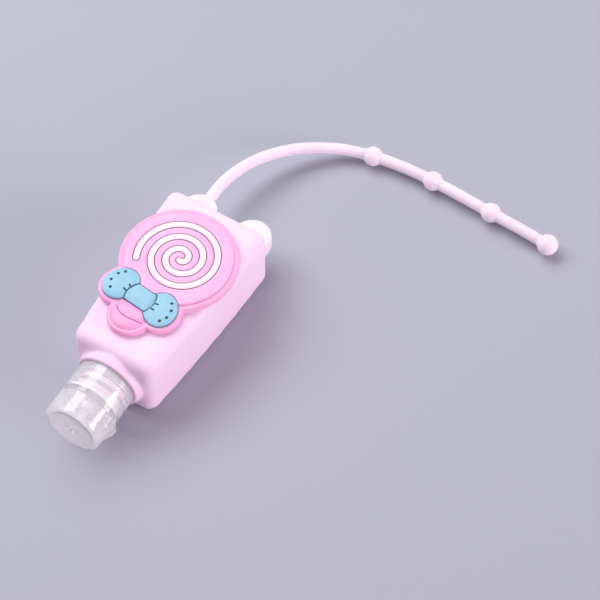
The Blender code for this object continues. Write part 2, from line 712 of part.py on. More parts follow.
def build_strap(parts, tools, silicone):
    """The strap as one tube, with beads that it passes through and a ball on its end."""
    heading = (Vector(STRAP_ROUTE[-1]) - Vector(STRAP_ROUTE[-2])).normalized()
    ball_centre = Vector(STRAP_ROUTE[-1])
    strap_end = ball_centre - heading * (END_BALL_RADIUS + CLEARANCE)
    route = [*STRAP_ROUTE[:-1], tuple(strap_end)]
    route[0] = (STRAP_LUG_X, STUB_END_Y + CLEARANCE, AXIS_Z)
    points = smooth_route(route, STRAP_STEP)
    strap = bpy.data.objects.new("strap", tube("strap", points, STRAP_RADIUS, 2))
    strap.data.materials.append(silicone)
    parts.objects.link(strap)
    bore = curve_to_mesh(tube("bead bore", points, STRAP_RADIUS + CLEARANCE, 2), "bead bore", tools)
    for number, index in enumerate(BEAD_POINTS, start=1):
        bead = ball(f"strap_bead_{number}", BEAD_RADIUS, STRAP_ROUTE[index], parts, silicone)
        combine(bead, bore, "DIFFERENCE")
        smooth(bead)
    end_ball = ball("strap_end_ball", END_BALL_RADIUS, ball_centre, parts, silicone)
    seat = cylinder("end ball seat", END_BALL_RADIUS, strap_end - heading * END_BALL_RADIUS,
                    strap_end + heading * 2 * CLEARANCE, tools, steps=24)
    combine(end_ball, seat, "DIFFERENCE")
    smooth(end_ball)


def ball(name, radius, centre, collection, material):
    bm = bmesh.new()
    bmesh.ops.create_uvsphere(bm, u_segments=20, v_segments=14, radius=radius)
    mesh = bpy.data.meshes.new(name)
    bm.to_mesh(mesh)
    bm.free()
    item = place(mesh, name, collection, material)
    item.location = centre
    return item


def main():
    clear_scene()
    parts = make_collection("Travel bottle")
    tools = make_collection("Cutters and forms")
    materials = {
        "silicone": make_material("Pale pink silicone", (0.90, 0.66, 0.83), 0.45),
        "rim": make_material("Rim pink silicone", (0.92, 0.48, 0.72), 0.45),
        "disc": make_material("Disc pink silicone", (0.94, 0.50, 0.76), 0.45),
        "mauve": make_material("Mauve outline", (0.32, 0.12, 0.24), 0.5),
        "white": make_material("White stripe", (0.93, 0.90, 0.90), 0.4),
        "bow": make_material("Bow blue silicone", (0.30, 0.66, 0.80), 0.45),
        "dark": make_material("Dark bow outline", (0.10, 0.14, 0.22), 0.5),
        "clear": make_material("Clear bottle plastic", (0.95, 0.96, 0.97), 0.08, 0.35, 0.9),
        "cap": make_material("Frosted cap plastic", (0.88, 0.90, 0.91), 0.25, 0.6, 0.6),
        "gasket": make_material("White washer foam", (0.90, 0.90, 0.90), 0.6),
    }
    build_sleeve(parts, tools, materials["silicone"])
    build_lollipop(parts, tools, materials)
    build_bow(parts, tools, materials)
    build_bottle(parts, tools, materials["clear"])
    build_cap(parts, tools, materials)
    build_strap(parts, tools, materials["silicone"])


main()
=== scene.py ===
"""Looks of the travel bottle: a clear bottle in a soft silicone sleeve with a lollipop and a strap.

The script follows the object as it is put together. Lengths are in metres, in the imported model's
own frame: the bottle lies on its back along Y, with its cap towards -Y.
"""

import math

import bmesh
import bpy
from mathutils import Matrix, Vector


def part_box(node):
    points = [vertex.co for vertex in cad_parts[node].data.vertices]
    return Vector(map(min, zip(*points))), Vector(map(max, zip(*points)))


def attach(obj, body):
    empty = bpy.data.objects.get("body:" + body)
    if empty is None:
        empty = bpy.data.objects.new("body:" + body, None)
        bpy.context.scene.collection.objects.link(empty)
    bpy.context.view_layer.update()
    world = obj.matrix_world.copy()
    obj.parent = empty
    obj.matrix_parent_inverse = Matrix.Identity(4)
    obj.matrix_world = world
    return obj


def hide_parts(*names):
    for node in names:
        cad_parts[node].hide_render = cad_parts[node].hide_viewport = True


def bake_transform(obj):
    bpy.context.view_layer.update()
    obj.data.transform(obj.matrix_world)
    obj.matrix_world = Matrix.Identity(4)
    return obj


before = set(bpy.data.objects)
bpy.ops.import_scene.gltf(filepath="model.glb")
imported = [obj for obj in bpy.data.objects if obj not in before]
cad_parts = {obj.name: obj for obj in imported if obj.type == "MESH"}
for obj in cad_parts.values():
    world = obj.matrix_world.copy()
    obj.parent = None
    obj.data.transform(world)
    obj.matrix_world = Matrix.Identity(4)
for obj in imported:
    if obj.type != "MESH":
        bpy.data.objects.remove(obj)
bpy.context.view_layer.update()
bpy.ops.object.select_all(action="DESELECT")
bpy.context.tool_settings.mesh_select_mode = (True, False, False)


# Bottle
# A small clear bottle, blow moulded from PET: a square body that the sleeve hides, and a round neck
# with a screw thread. One thin wall all over, with an open mouth under the cap.
bottle_low, bottle_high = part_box("bottle")
AXIS_Z = (bottle_low.z + bottle_high.z) / 2
NECK_TOP = 0.0108
NEAR_Y = bottle_low.y + NECK_TOP
BOTTLE_WALL = 0.0008
BODY_INSET = 0.0023
BODY_FAR_Y = bottle_high.y
BODY_NEAR_WIDTH = 0.0250
BODY_ROOM = 0.0002
BODY_FAR_WIDTH = bottle_high.x - bottle_low.x - BODY_ROOM
BODY_BULGE = 0.0008
BODY_EDGE = 0.0026
NECK_RADIUS = 0.0078
NECK_BORE = 0.0068
NECK_RING_RADIUS = 0.0092
NECK_RING_NEAR = -0.0006
NECK_RING_FAR = -0.0016
NECK_ROUNDING = 0.00025
# A number that shares no step with the thread, so that no edges of the two fall together
NECK_STEPS = 97
THREAD_PITCH = 0.003175
NECK_THREAD_CREST = 0.00875
NECK_THREAD_START = 0.0036
NECK_THREAD_TURNS = 2.0
THREAD_SINK = 0.0004
TURN_STEPS = 96


def edit_mesh():
    """The active object's mesh in edit mode, for choosing vertices by their place."""
    if bpy.context.object.mode != "EDIT":
        bpy.ops.object.mode_set(mode="EDIT")
    return bmesh.from_edit_mesh(bpy.context.object.data)


def choose(test):
    """Selects the vertices that pass a test, with the edges and faces between them."""
    bm = edit_mesh()
    for vert in bm.verts:
        vert.select = bool(test(vert.co))
    bm.select_flush_mode()
    bm.select_flush(True)
    bmesh.update_edit_mesh(bpy.context.object.data)


def choose_edges(test):
    """Selects the edges that pass a test."""
    bm = edit_mesh()
    for edge_line in bm.edges:
        edge_line.select = test(edge_line)
    bmesh.update_edit_mesh(bpy.context.object.data)


def choose_all():
    bpy.ops.mesh.select_all(action="SELECT")


def let_go():
    bpy.ops.object.select_all(action="DESELECT")


def leave_edit():
    """Closes the mesh with its faces pointing out, and returns its object."""
    choose_all()
    bpy.ops.mesh.remove_doubles(threshold=0.000001)
    bpy.ops.mesh.normals_make_consistent(inside=False)
    bpy.ops.object.mode_set(mode="OBJECT")
    return bpy.context.object


def apply_place():
    """Moves the object's place, turn and size into its mesh."""
    bpy.ops.object.transform_apply(location=True, rotation=True, scale=True)


def smooth(angle=35):
    """Shades the object smooth, apart from edges over the angle in degrees."""
    bpy.ops.object.shade_smooth_by_angle(angle=math.radians(angle))


def pick(item):
    let_go()
    item.select_set(True)
    bpy.context.view_layer.objects.active = item


def apply_modifiers(item):
    pick(item)
    for modifier in list(item.modifiers):
        bpy.ops.object.modifier_apply(modifier=modifier.name)


def combine(item, tool, operation):
    """Adds or cuts a tool's shape, and removes the tool."""
    boolean = item.modifiers.new(operation.title(), "BOOLEAN")
    boolean.operation = operation
    boolean.solver = "EXACT"
    boolean.object = tool
    apply_modifiers(item)
    bpy.data.objects.remove(tool)


def tapered_block(near_y, far_y, near_width, far_width, low_z, high_z, bulge, edge, segments):
    """A block that widens towards +Y, with bowed sides and rounded edges."""
    let_go()
    middle = (0.0, (near_y + far_y) / 2, (low_z + high_z) / 2)
    bpy.ops.mesh.primitive_cube_add(size=1, location=middle,
                                    scale=(far_width, far_y - near_y, high_z - low_z))
    apply_place()
    choose(lambda co: co.y < middle[1])
    bpy.ops.transform.resize(value=(near_width / far_width, 1, 1),
                             center_override=(0, near_y, middle[2]))
    choose_edges(lambda line: abs(line.verts[0].co.y - line.verts[1].co.y) > 0.001)
    parts = 8
    bpy.ops.mesh.subdivide(number_cuts=parts - 1)
    for cut in range(1, parts):
        along = cut / parts
        y = near_y + (far_y - near_y) * along
        half_width = (near_width + (far_width - near_width) * along) / 2
        wider = 1 + bulge * (1 - (2 * along - 1) ** 2) / half_width
        choose(lambda co: abs(co.y - y) < 0.0001)
        bpy.ops.transform.resize(value=(wider, 1, 1), center_override=(0, y, middle[2]))
    bpy.ops.mesh.select_all(action="DESELECT")
    bpy.ops.mesh.edges_select_sharp(sharpness=math.radians(50))
    bpy.ops.mesh.bevel(offset=edge, segments=segments, affect="EDGES")
    return leave_edit()


def draw_line(points):
    """Draws a chain of edges point by point, and leaves it in edit mode."""
    let_go()
    bpy.ops.mesh.primitive_plane_add(size=0.001, location=points[0])
    apply_place()
    bpy.ops.object.mode_set(mode="EDIT")
    choose_all()
    bpy.ops.mesh.merge(type="CENTER")
    choose_all()
    for here, there in zip(points, points[1:]):
        step = tuple(Vector(there) - Vector(here))
        bpy.ops.mesh.extrude_vertices_move(TRANSFORM_OT_translate={"value": step})


def close_line():
    """Joins the chain's two ends with an edge."""
    bm = edit_mesh()
    for vert in bm.verts:
        vert.select = len(vert.link_edges) == 1
    bm.select_flush_mode()
    bmesh.update_edit_mesh(bpy.context.object.data)
    bpy.ops.mesh.edge_face_add()


def turned(profile, closed, rounding=0.0, steps=TURN_STEPS):
    """Turns a profile of radii and heights about the cap's axis. Heights go outwards from the sleeve."""
    draw_line([(radius, NEAR_Y - height, AXIS_Z) for radius, height in profile])
    if closed:
        close_line()
    choose_all()
    if rounding:
        bpy.ops.mesh.bevel(offset=rounding, segments=3, affect="VERTICES")
        choose_all()
    bpy.ops.mesh.spin(steps=steps, angle=2 * math.pi, center=(0, 0, AXIS_Z), axis=(0, 1, 0))
    return leave_edit()


def thread(root, crest, start, turns):
    """A screw thread's ridge about the cap's axis, from its root's radius to its crest's."""
    half_root, half_crest = 0.00055, 0.00018
    section = [(root, -half_root), (crest, -half_crest), (crest, half_crest), (root, half_root)]
    draw_line([(radius, NEAR_Y - start - height, AXIS_Z) for radius, height in section])
    close_line()
    choose_all()
    bpy.ops.object.mode_set(mode="OBJECT")
    ridge = bpy.context.object
    bpy.context.scene.cursor.location = (0.0, NEAR_Y - start, AXIS_Z)
    bpy.ops.object.origin_set(type="ORIGIN_CURSOR")
    screw = ridge.modifiers.new("Turns", "SCREW")
    screw.axis = "Y"
    screw.angle = -2 * math.pi * turns
    screw.screw_offset = -THREAD_PITCH * turns
    screw.steps = screw.render_steps = round(TURN_STEPS * turns / 2)
    screw.use_merge_vertices = False
    apply_modifiers(ridge)
    apply_place()
    bpy.context.scene.cursor.location = (0.0, 0.0, 0.0)
    for vert in ridge.data.vertices:
        radius = math.hypot(vert.co.x, vert.co.z - AXIS_Z)
        height = NEAR_Y - start - vert.co.y
        from_end = min(height + half_root, THREAD_PITCH * turns + half_root - height)
        full = min(1.0, from_end / (3 * half_root))
        wanted = (root + (radius - root) * full) / radius
        vert.co.x *= wanted
        vert.co.z = AXIS_Z + (vert.co.z - AXIS_Z) * wanted
    edit_mesh()
    bpy.ops.mesh.select_all(action="DESELECT")
    bpy.ops.mesh.select_non_manifold()
    bpy.ops.mesh.edge_face_add()
    bpy.ops.mesh.fill_holes(sides=0)
    return leave_edit()


body = tapered_block(NEAR_Y + BODY_INSET, BODY_FAR_Y, BODY_NEAR_WIDTH, BODY_FAR_WIDTH,
                     bottle_low.z, bottle_high.z, BODY_BULGE, BODY_EDGE, 6)
neck_root = -BODY_INSET - BOTTLE_WALL / 2
combine(body, turned([
    (NECK_BORE - BOTTLE_WALL, NECK_TOP),
    (NECK_RADIUS, NECK_TOP),
    (NECK_RADIUS, NECK_RING_NEAR),
    (NECK_RING_RADIUS, NECK_RING_NEAR),
    (NECK_RING_RADIUS, NECK_RING_FAR),
    (NECK_RADIUS, NECK_RING_FAR),
    (NECK_RADIUS, neck_root),
    (NECK_BORE - BOTTLE_WALL, neck_root),
], True, NECK_ROUNDING, NECK_STEPS), "UNION")
combine(body, thread(NECK_RADIUS - THREAD_SINK, NECK_THREAD_CREST, NECK_THREAD_START, NECK_THREAD_TURNS),
        "UNION")
combine(body, tapered_block(
    NEAR_Y + BODY_INSET + BOTTLE_WALL, BODY_FAR_Y - BOTTLE_WALL,
    BODY_NEAR_WIDTH - 2 * BOTTLE_WALL, BODY_FAR_WIDTH - 2 * BOTTLE_WALL,
    bottle_low.z + BOTTLE_WALL, bottle_high.z - BOTTLE_WALL, BODY_BULGE, BODY_EDGE - BOTTLE_WALL, 4,
), "DIFFERENCE")
combine(body, turned([
    (0.0, NECK_TOP * 1.5),
    (NECK_BORE, NECK_TOP * 1.5),
    (NECK_BORE, -BODY_INSET - 3 * BOTTLE_WALL),
    (0.0, -BODY_INSET - 3 * BOTTLE_WALL),
], False), "DIFFERENCE")
smooth()


def feed(socket, value):
    """Gives an input a plain value, or links it to an output or to a node's first output."""
    if isinstance(value, bpy.types.Node):
        value = value.outputs[0]
    if isinstance(value, bpy.types.NodeSocket):
        socket.id_data.links.new(value, socket)
    else:
        socket.default_value = value


def feed_all(node, *ordered, **named):
    """Feeds a node's inputs in their order, or by name with _ for a space."""
    for socket, value in zip(node.inputs, ordered):
        feed(socket, value)
    for name, value in named.items():
        feed(node.inputs[name.replace("_", " ")], value)
    return node


def add_node(tree, kind, *ordered, **named):
    """Adds a node of a kind and feeds its inputs."""
    return feed_all(tree.nodes.new("ShaderNode" + kind), *ordered, **named)


def add_math(tree, operation, *values):
    node = add_node(tree, "Math", *values)
    node.operation = operation
    return node


def object_place(tree):
    return add_node(tree, "TexCoord").outputs["Object"]


def noise(tree, place, scale, detail, roughness):
    return add_node(tree, "TexNoise", Vector=place, Scale=scale, Detail=detail, Roughness=roughness)


def spread(tree, value, low, high, to_low=0.0, to_high=1.0):
    """Maps the values between two limits to a range."""
    return add_node(tree, "MapRange", value, low, high, to_low, to_high)


def mix_colours(tree, share, first, second):
    return add_node(tree, "MixRGB", share, first, second)


def start_group(name, inputs, outputs):
    """A node group with its sockets, which are given as names for each kind."""
    group = bpy.data.node_groups.new(name, "ShaderNodeTree")
    for in_out, kinds in (("INPUT", inputs), ("OUTPUT", outputs)):
        for kind, names in kinds.items():
            for socket_name in names:
                group.interface.new_socket(socket_name, in_out=in_out, socket_type="NodeSocket" + kind)
    given = group.nodes.new("NodeGroupInput").outputs
    return group, given, group.nodes.new("NodeGroupOutput")


def use_group(tree, group, **named):
    """Adds a node group with its inputs fed, and returns its outputs."""
    node = add_node(tree, "Group")
    node.node_tree = group
    return feed_all(node, **named).outputs


def blank_material(name):
    material = bpy.data.materials.new(name)
    material.use_nodes = True
    tree = material.node_tree
    return material, tree, tree.nodes["Principled BSDF"]


def haze_group():
    """Moulded plastic: faint flow lines along the mould, fine scuffs, and how rough they leave it."""
    group, given, result = start_group("Plastic haze", {"Float": ("Roughness", "Scuffs", "Ripple")},
                                       {"Float": ("Roughness", "Height", "Haze")})
    place = object_place(group)
    flow_place = add_node(group, "Mapping", Vector=place, Scale=(1.0, 0.25, 1.0))
    scuff_place = add_node(group, "Mapping", Vector=place, Rotation=(0.3, 0.7, 0.5),
                           Scale=(1.0, 6.0, 1.0))
    scuff = spread(group, noise(group, scuff_place, 900.0, 2.0, 0.7), 0.6, 0.75)
    flow = noise(group, flow_place, 420.0, 3.0, 0.6)
    feed_all(result, Haze=noise(group, place, 160.0, 4.0, 0.55),
             Height=add_math(group, "MULTIPLY", flow, given["Ripple"]),
             Roughness=add_math(group, "MULTIPLY_ADD", scuff, given["Scuffs"], given["Roughness"]))
    return group


plastic_haze = haze_group()


def plastic_material(name, colour, shade, clearness, roughness, scuffs, ripple, haze_depth):
    """Clear or milky plastic, which lets lamps through so that its shadow stays light."""
    material, tree, shader = blank_material(name)
    haze = use_group(tree, plastic_haze, Roughness=roughness, Scuffs=scuffs, Ripple=ripple)
    cloud = spread(tree, haze["Haze"], 0.35, 0.65, 0.0, haze_depth)
    feed_all(shader, Base_Color=mix_colours(tree, cloud, (*colour, 1), (*shade, 1)),
             Roughness=haze["Roughness"], Transmission_Weight=clearness, IOR=1.46,
             Specular_IOR_Level=0.3,
             Normal=add_node(tree, "Bump", Height=haze["Height"], Strength=0.5, Distance=0.0002))
    path = add_node(tree, "LightPath").outputs
    through = add_math(tree, "MAXIMUM", path["Is Shadow Ray"], path["Is Diffuse Ray"])
    clear = add_node(tree, "BsdfTransparent", Color=(0.95, 0.94, 0.96, 1))
    feed_all(tree.nodes["Material Output"], Surface=add_node(tree, "MixShader", through, shader, clear))
    return material


def finish_piece(piece, name, material, slot, *nodes, body="bottle_in_sleeve"):
    """Names a piece, gives it its material, and puts it on its body in place of its solids."""
    piece.name = name
    piece.data.name = name
    piece.data.materials.clear()
    piece.data.materials.append(material)
    if nodes:
        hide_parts(*nodes)
    if body:
        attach(piece, body)


# Painted light: the clear plastic is tinted pink and mauve to stand for the sleeve's pink light inside it
# and the shade round the neck
bottle_plastic = plastic_material("Clear bottle plastic", (0.86, 0.70, 0.83), (0.80, 0.62, 0.77),
                                  0.1, 0.08, 0.12, 0.3, 0.4)
finish_piece(body, "clear_bottle", bottle_plastic, "clear_plastic", "bottle")


# Sealing washer
# A flat ring punched from white foam sheet. It lies loose in the cap's roof and is pressed on the
# neck's rim when the cap is screwed down.
WASHER_ROUNDING = 0.00015
washer_low, washer_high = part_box("cap_gasket")
washer = turned([
    (NECK_BORE, NEAR_Y - washer_low.y),
    (washer_high.x, NEAR_Y - washer_low.y),
    (washer_high.x, NEAR_Y - washer_high.y),
    (NECK_BORE, NEAR_Y - washer_high.y),
], True, WASHER_ROUNDING)
smooth()


def foam_material():
    """Closed-cell foam: small round cells that show as dimples and a slight change of shade."""
    material, tree, shader = blank_material("White washer foam")
    cells = add_node(tree, "TexVoronoi", Vector=object_place(tree), Scale=4500.0)
    feed_all(shader, Base_Color=mix_colours(tree, cells, (0.93, 0.93, 0.93, 1), (0.82, 0.82, 0.83, 1)),
             Roughness=0.7, Normal=add_node(tree, "Bump", Height=cells, Strength=0.6, Distance=0.00008))
    return material


finish_piece(washer, "foam_washer", foam_material(), "foam", "cap_gasket", body="gasket")


# Screwed cap
# Injection moulded from natural polypropylene, so it is milky and half clear. A smooth skirt with a
# thread inside, a plug ring that seals the mouth, and a deck with the pouring nozzle.
CAP_RADIUS = 0.0102
CAP_WALL = 0.0011
CAP_START = 0.0003
CAP_SPLIT = 0.0146
SPLIT_GAP = 0.00016
CAP_ROUNDING = 0.00014
DECK_INSIDE = 0.0124
DECK_THICKNESS = 0.0012
PLUG_RADIUS = 0.0065
PLUG_WALL = 0.0009
PLUG_DEPTH = 0.0024
PLUG_LEAD = 0.00045
ORIFICE = 0.0015
NOZZLE_RADIUS = 0.0025
NOZZLE_TOP = 0.0158
NOZZLE_EDGE = 0.0005
SKIRT_INSIDE = CAP_RADIUS - CAP_WALL
CAP_THREAD_CREST = 0.0083
CAP_THREAD_START = NECK_THREAD_START - THREAD_PITCH / 2
CAP_THREAD_TURNS = 2.6
HINGE_FLAT = CAP_RADIUS - 0.00025
TAB_WIDTH = 0.0072
TAB_LENGTH = 0.0046
SCOOP_DEPTH = 0.0006
SCOOP_LENGTH = 0.0026
SCOOP_EDGE = 0.0005
SPLIT_Y = NEAR_Y - CAP_SPLIT


def box_tool(low, high, edge=0.0):
    """A box between two corners, for cutting."""
    let_go()
    low, high = Vector(low), Vector(high)
    bpy.ops.mesh.primitive_cube_add(size=1, location=(low + high) / 2, scale=high - low)
    apply_place()
    edit_mesh()
    choose_all()
    if edge:
        bpy.ops.mesh.bevel(offset=edge, segments=3, affect="EDGES")
    return leave_edit()


def cut_hinge_flat(item):
    """Cuts the flat that the film hinge lies on."""
    combine(item, box_tool((-2 * CAP_RADIUS, SPLIT_Y - TAB_LENGTH, AXIS_Z - CAP_RADIUS),
                           (-HINGE_FLAT, SPLIT_Y + TAB_LENGTH, AXIS_Z + CAP_RADIUS)), "DIFFERENCE")


cap = turned([
    (ORIFICE, NOZZLE_TOP),
    (NOZZLE_RADIUS * 0.9, NOZZLE_TOP),
    (NOZZLE_RADIUS, NOZZLE_TOP - NOZZLE_EDGE),
    (NOZZLE_RADIUS + NOZZLE_EDGE, DECK_INSIDE + DECK_THICKNESS),
    (SKIRT_INSIDE, DECK_INSIDE + DECK_THICKNESS),
    (SKIRT_INSIDE, CAP_SPLIT - SPLIT_GAP / 2),
    (CAP_RADIUS, CAP_SPLIT - SPLIT_GAP / 2),
    (CAP_RADIUS, CAP_START),
    (SKIRT_INSIDE, CAP_START),
    (SKIRT_INSIDE, DECK_INSIDE),
    (PLUG_RADIUS, DECK_INSIDE),
    (PLUG_RADIUS, DECK_INSIDE - PLUG_DEPTH + PLUG_LEAD),
    (PLUG_RADIUS - PLUG_LEAD, DECK_INSIDE - PLUG_DEPTH),
    (PLUG_RADIUS - PLUG_WALL, DECK_INSIDE - PLUG_DEPTH),
    (PLUG_RADIUS - PLUG_WALL, DECK_INSIDE),
    (ORIFICE, DECK_INSIDE),
], True, CAP_ROUNDING)
combine(cap, thread(SKIRT_INSIDE + THREAD_SINK, CAP_THREAD_CREST, CAP_THREAD_START, CAP_THREAD_TURNS),
        "UNION")
cut_hinge_flat(cap)
combine(cap, box_tool((CAP_RADIUS - SCOOP_DEPTH, SPLIT_Y - 2 * SPLIT_GAP, AXIS_Z - TAB_WIDTH / 2),
                      (2 * CAP_RADIUS, SPLIT_Y + SCOOP_LENGTH, AXIS_Z + TAB_WIDTH / 2), SCOOP_EDGE),
        "DIFFERENCE")
smooth()
cap_plastic = plastic_material("Natural cap plastic", (1.0, 0.985, 1.0), (0.985, 0.965, 0.99),
                               0.77, 0.04, 0.10, 1.5, 0.8)
finish_piece(cap, "screwed_cap", cap_plastic, "cap_plastic", "cap_base", body="cap")


# Flip lid
# Moulded in one shot with the cap. Its domed edge runs into a thumb tab, and a pin inside the roof
# closes the nozzle's hole.
CAP_REACH = 0.0240
LID_WALL = 0.0011
LID_ROOF = 0.0012
LID_ROUND = 0.0016
LID_CORNER = 0.0008
LID_CHAMFER = 0.0001
PIN_RADIUS = ORIFICE - 0.0003
PIN_END = NOZZLE_TOP - 0.0014
TAB_PROUD = 0.0011
TAB_ROUNDING = 0.0003


def arc(centre, radius, start, end, steps):
    """Points along an arc, ends included."""
    turns = [start + (end - start) * step / steps for step in range(steps + 1)]
    return [(centre[0] + radius * math.cos(t), centre[1] + radius * math.sin(t)) for t in turns]


def raise_outline(height):
    """Fills the outline that is being drawn, and raises it to a solid."""
    choose_all()
    bpy.ops.mesh.edge_face_add()
    bpy.ops.mesh.extrude_region_move(TRANSFORM_OT_translate={"value": (0, 0, height)})


ceiling = CAP_REACH - LID_ROOF
lid = turned([
    (0.0, CAP_REACH),
    *arc((CAP_RADIUS - LID_ROUND, CAP_REACH - LID_ROUND), LID_ROUND, math.pi / 2, 0, 8),
    (CAP_RADIUS, CAP_SPLIT + SPLIT_GAP / 2 + LID_CHAMFER),
    (CAP_RADIUS - LID_CHAMFER, CAP_SPLIT + SPLIT_GAP / 2),
    (CAP_RADIUS - LID_WALL, CAP_SPLIT + SPLIT_GAP / 2),
    (CAP_RADIUS - LID_WALL, ceiling - LID_CORNER),
    (CAP_RADIUS - LID_WALL - LID_CORNER, ceiling),
    (PIN_RADIUS * 1.5, ceiling),
    (PIN_RADIUS, ceiling - LID_ROOF),
    (PIN_RADIUS, PIN_END + PIN_RADIUS / 2),
    (PIN_RADIUS / 2, PIN_END),
    (0.0, PIN_END),
], False)
tab_root = SPLIT_Y - SPLIT_GAP / 2
draw_line([(x, y, AXIS_Z - TAB_WIDTH / 2) for x, y in (
    (CAP_RADIUS - LID_WALL / 2, tab_root),
    (CAP_RADIUS - LID_WALL / 2, tab_root - TAB_LENGTH),
    (CAP_RADIUS - LID_WALL / 4, tab_root - TAB_LENGTH),
    (CAP_RADIUS + TAB_PROUD, tab_root - TAB_LENGTH * 0.4),
    (CAP_RADIUS + TAB_PROUD, tab_root),
)])
raise_outline(TAB_WIDTH)
choose(lambda co: co.x > CAP_RADIUS)
bpy.ops.mesh.bevel(offset=TAB_ROUNDING, segments=3, affect="EDGES")
combine(lid, leave_edit(), "UNION")
cut_hinge_flat(lid)
smooth()
finish_piece(lid, "flip_lid", cap_plastic, "cap_plastic", "cap_lid", body="lid")


# Film hinge
# The same plastic as the cap and the lid, thinned to a film where they meet, so that it bends
# thousands of times without a pin.
FILM_WIDTH = 0.0042
FILM_REACH = 0.0013
FILM_THICKNESS = 0.00022
FILM_SINK = 0.00002
FILM_EDGE = 0.00006
FILM_PARTS = 12
film = box_tool((-HINGE_FLAT - FILM_THICKNESS, SPLIT_Y - FILM_REACH, AXIS_Z - FILM_WIDTH / 2),
                (-HINGE_FLAT + FILM_SINK, SPLIT_Y + FILM_REACH, AXIS_Z + FILM_WIDTH / 2), FILM_EDGE)
edit_mesh()
for cut in range(1, FILM_PARTS):
    y = SPLIT_Y - FILM_REACH + 2 * FILM_REACH * cut / FILM_PARTS
    choose_all()
    bpy.ops.mesh.bisect(plane_co=(0, y, 0), plane_no=(0, 1, 0))
leave_edit()
smooth()
finish_piece(film, "film_hinge", cap_plastic, "cap_plastic", body=None)
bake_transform(film)


# Sleeve
# One soft moulding of pale pink silicone that is pulled over the bottle. A collar goes round the
# neck, and two lugs at the far end carry the strap and its eyelet. Every edge is soft.
COLLAR_REACH = 0.0028
COLLAR_BORE = CAP_RADIUS + 0.00003
COLLAR_RIM = CAP_RADIUS + 0.0010
COLLAR_ROOT = CAP_RADIUS + 0.0015
MOUTH_FLARE = 0.00003
MOUTH_DEPTH = 0.0004
SLEEVE_LENGTH = 0.0659
SLEEVE_NEAR_WIDTH = 0.0296
SLEEVE_FAR_WIDTH = 0.0374
SLEEVE_THICKNESS = 0.0260
SLEEVE_BULGE = 0.0008
SLEEVE_EDGE = 0.0036
SLEEVE_WALL = 0.0020
SLEEVE_GRID = 0.00042
FAR_Y = NEAR_Y + SLEEVE_LENGTH
LUGS = ((-0.0103, 0.0062, 0.0083), (0.0106, 0.0066, 0.0088))
LUG_THICKNESS = 0.0056
EYELET_RADIUS = 0.0018
EYELET_OUTSET = 0.0005
STRAP_RADIUS = 0.0020
STUB_REACH = 0.0007
STUB_LENGTH = 0.0046
STUB_FLARE = 0.0018
STUB_PROUD = 0.0001
ART_TILT = math.radians(-5.0)
DISC_Y = NEAR_Y + SLEEVE_LENGTH / 2 + 0.0078
RIM_RADIUS = 0.0197
PAD_INSET = 0.0018
PAD_HEIGHT = 0.0060
BOW_FLANGE = 0.0014
BOW_X = -0.00075
BOW_BACK = 0.01895
BOW_TILT = math.radians(-1.7)
LOOP_OFFSET = 0.00825
LOOP_LENGTH = 0.0109
LOOP_WIDTH = 0.01266
LOOP_LEAN = math.radians(19.5)
KNOT_X = 0.0004
KNOT_BACK = 0.00025
KNOT_LENGTH = 0.0101
KNOT_WIDTH = 0.0070
KNOT_BOW = 0.0012
KNOT_TAPER = 0.0003
TAIL_X = 0.0001
TAIL_HALF_WIDTH = 0.0062
TAIL_BACK = 0.0262
TAIL_LENGTH = 0.0060
TAIL_FLANGE = 0.0011


def art_point(x, y):
    """A place on the lollipop, given from the disc's centre, in the sleeve's frame."""
    turned_x = x * math.cos(ART_TILT) - y * math.sin(ART_TILT)
    turned_y = x * math.sin(ART_TILT) + y * math.cos(ART_TILT)
    return (turned_x, DISC_Y + turned_y)


def circle(radius, steps):
    return arc((0.0, 0.0), radius, 0.0, 2 * math.pi, steps)[:-1]


def on_bow(points):
    """Points about the bow's middle, placed on the lollipop."""
    turn = Matrix.Rotation(BOW_TILT, 2)
    placed = [turn @ Vector(point) for point in points]
    return [(BOW_X + point.x, point.y - BOW_BACK) for point in placed]


def loop_outline(side, grow, steps=48):
    """A bow loop as an oval that leans to the knot. Side is -1 for the left, 1 for the right."""
    lean = Matrix.Rotation(side * LOOP_LEAN, 2)
    centre = Vector((side * LOOP_OFFSET, 0.0))
    turns = [2 * math.pi * step / steps for step in range(steps)]
    return on_bow([centre + lean @ Vector(((LOOP_LENGTH / 2 + grow) * math.cos(t),
                                           (LOOP_WIDTH / 2 + grow) * math.sin(t))) for t in turns])


def knot_outline(grow, steps=12):
    """The knot: straight long sides, the lower one longer, and ends that bow outwards."""
    half_length = KNOT_LENGTH / 2 + grow
    half_width = KNOT_WIDTH / 2 + grow
    across = [2 * step / steps - 1 for step in range(steps + 1)]
    ends = [(half_length - KNOT_BOW * share ** 2 - KNOT_TAPER * share, half_width * share)
            for share in across]
    right = [(KNOT_X + x, y - KNOT_BACK) for x, y in ends]
    left = [(KNOT_X - x, y - KNOT_BACK) for x, y in reversed(ends)]
    return on_bow(right + left)


def tail_outline(grow, steps=30):
    """The gathered wrapper: a half oval that hangs from the bow's lower side."""
    half = TAIL_HALF_WIDTH + grow
    turns = [math.pi + math.pi * step / steps for step in range(steps + 1)]
    lower = [(TAIL_X + half * math.cos(t), (TAIL_LENGTH + grow) * math.sin(t) - TAIL_BACK)
             for t in turns]
    top_y = -BOW_BACK - KNOT_WIDTH / 2
    return [*lower, (TAIL_X + half * 0.9, top_y), (TAIL_X - half * 0.9, top_y)]


def plate(outline, bottom, top):
    """An outline on the lollipop, raised between two heights."""
    draw_line([(*art_point(x, y), bottom) for x, y in outline])
    raise_outline(top - bottom)
    return leave_edit()


def joined_plates(outlines, bottom, top):
    """Outlines on the lollipop, raised between two heights and joined."""
    whole = plate(outlines[0], bottom, top)
    for outline in outlines[1:]:
        combine(whole, plate(outline, bottom, top), "UNION")
    return whole


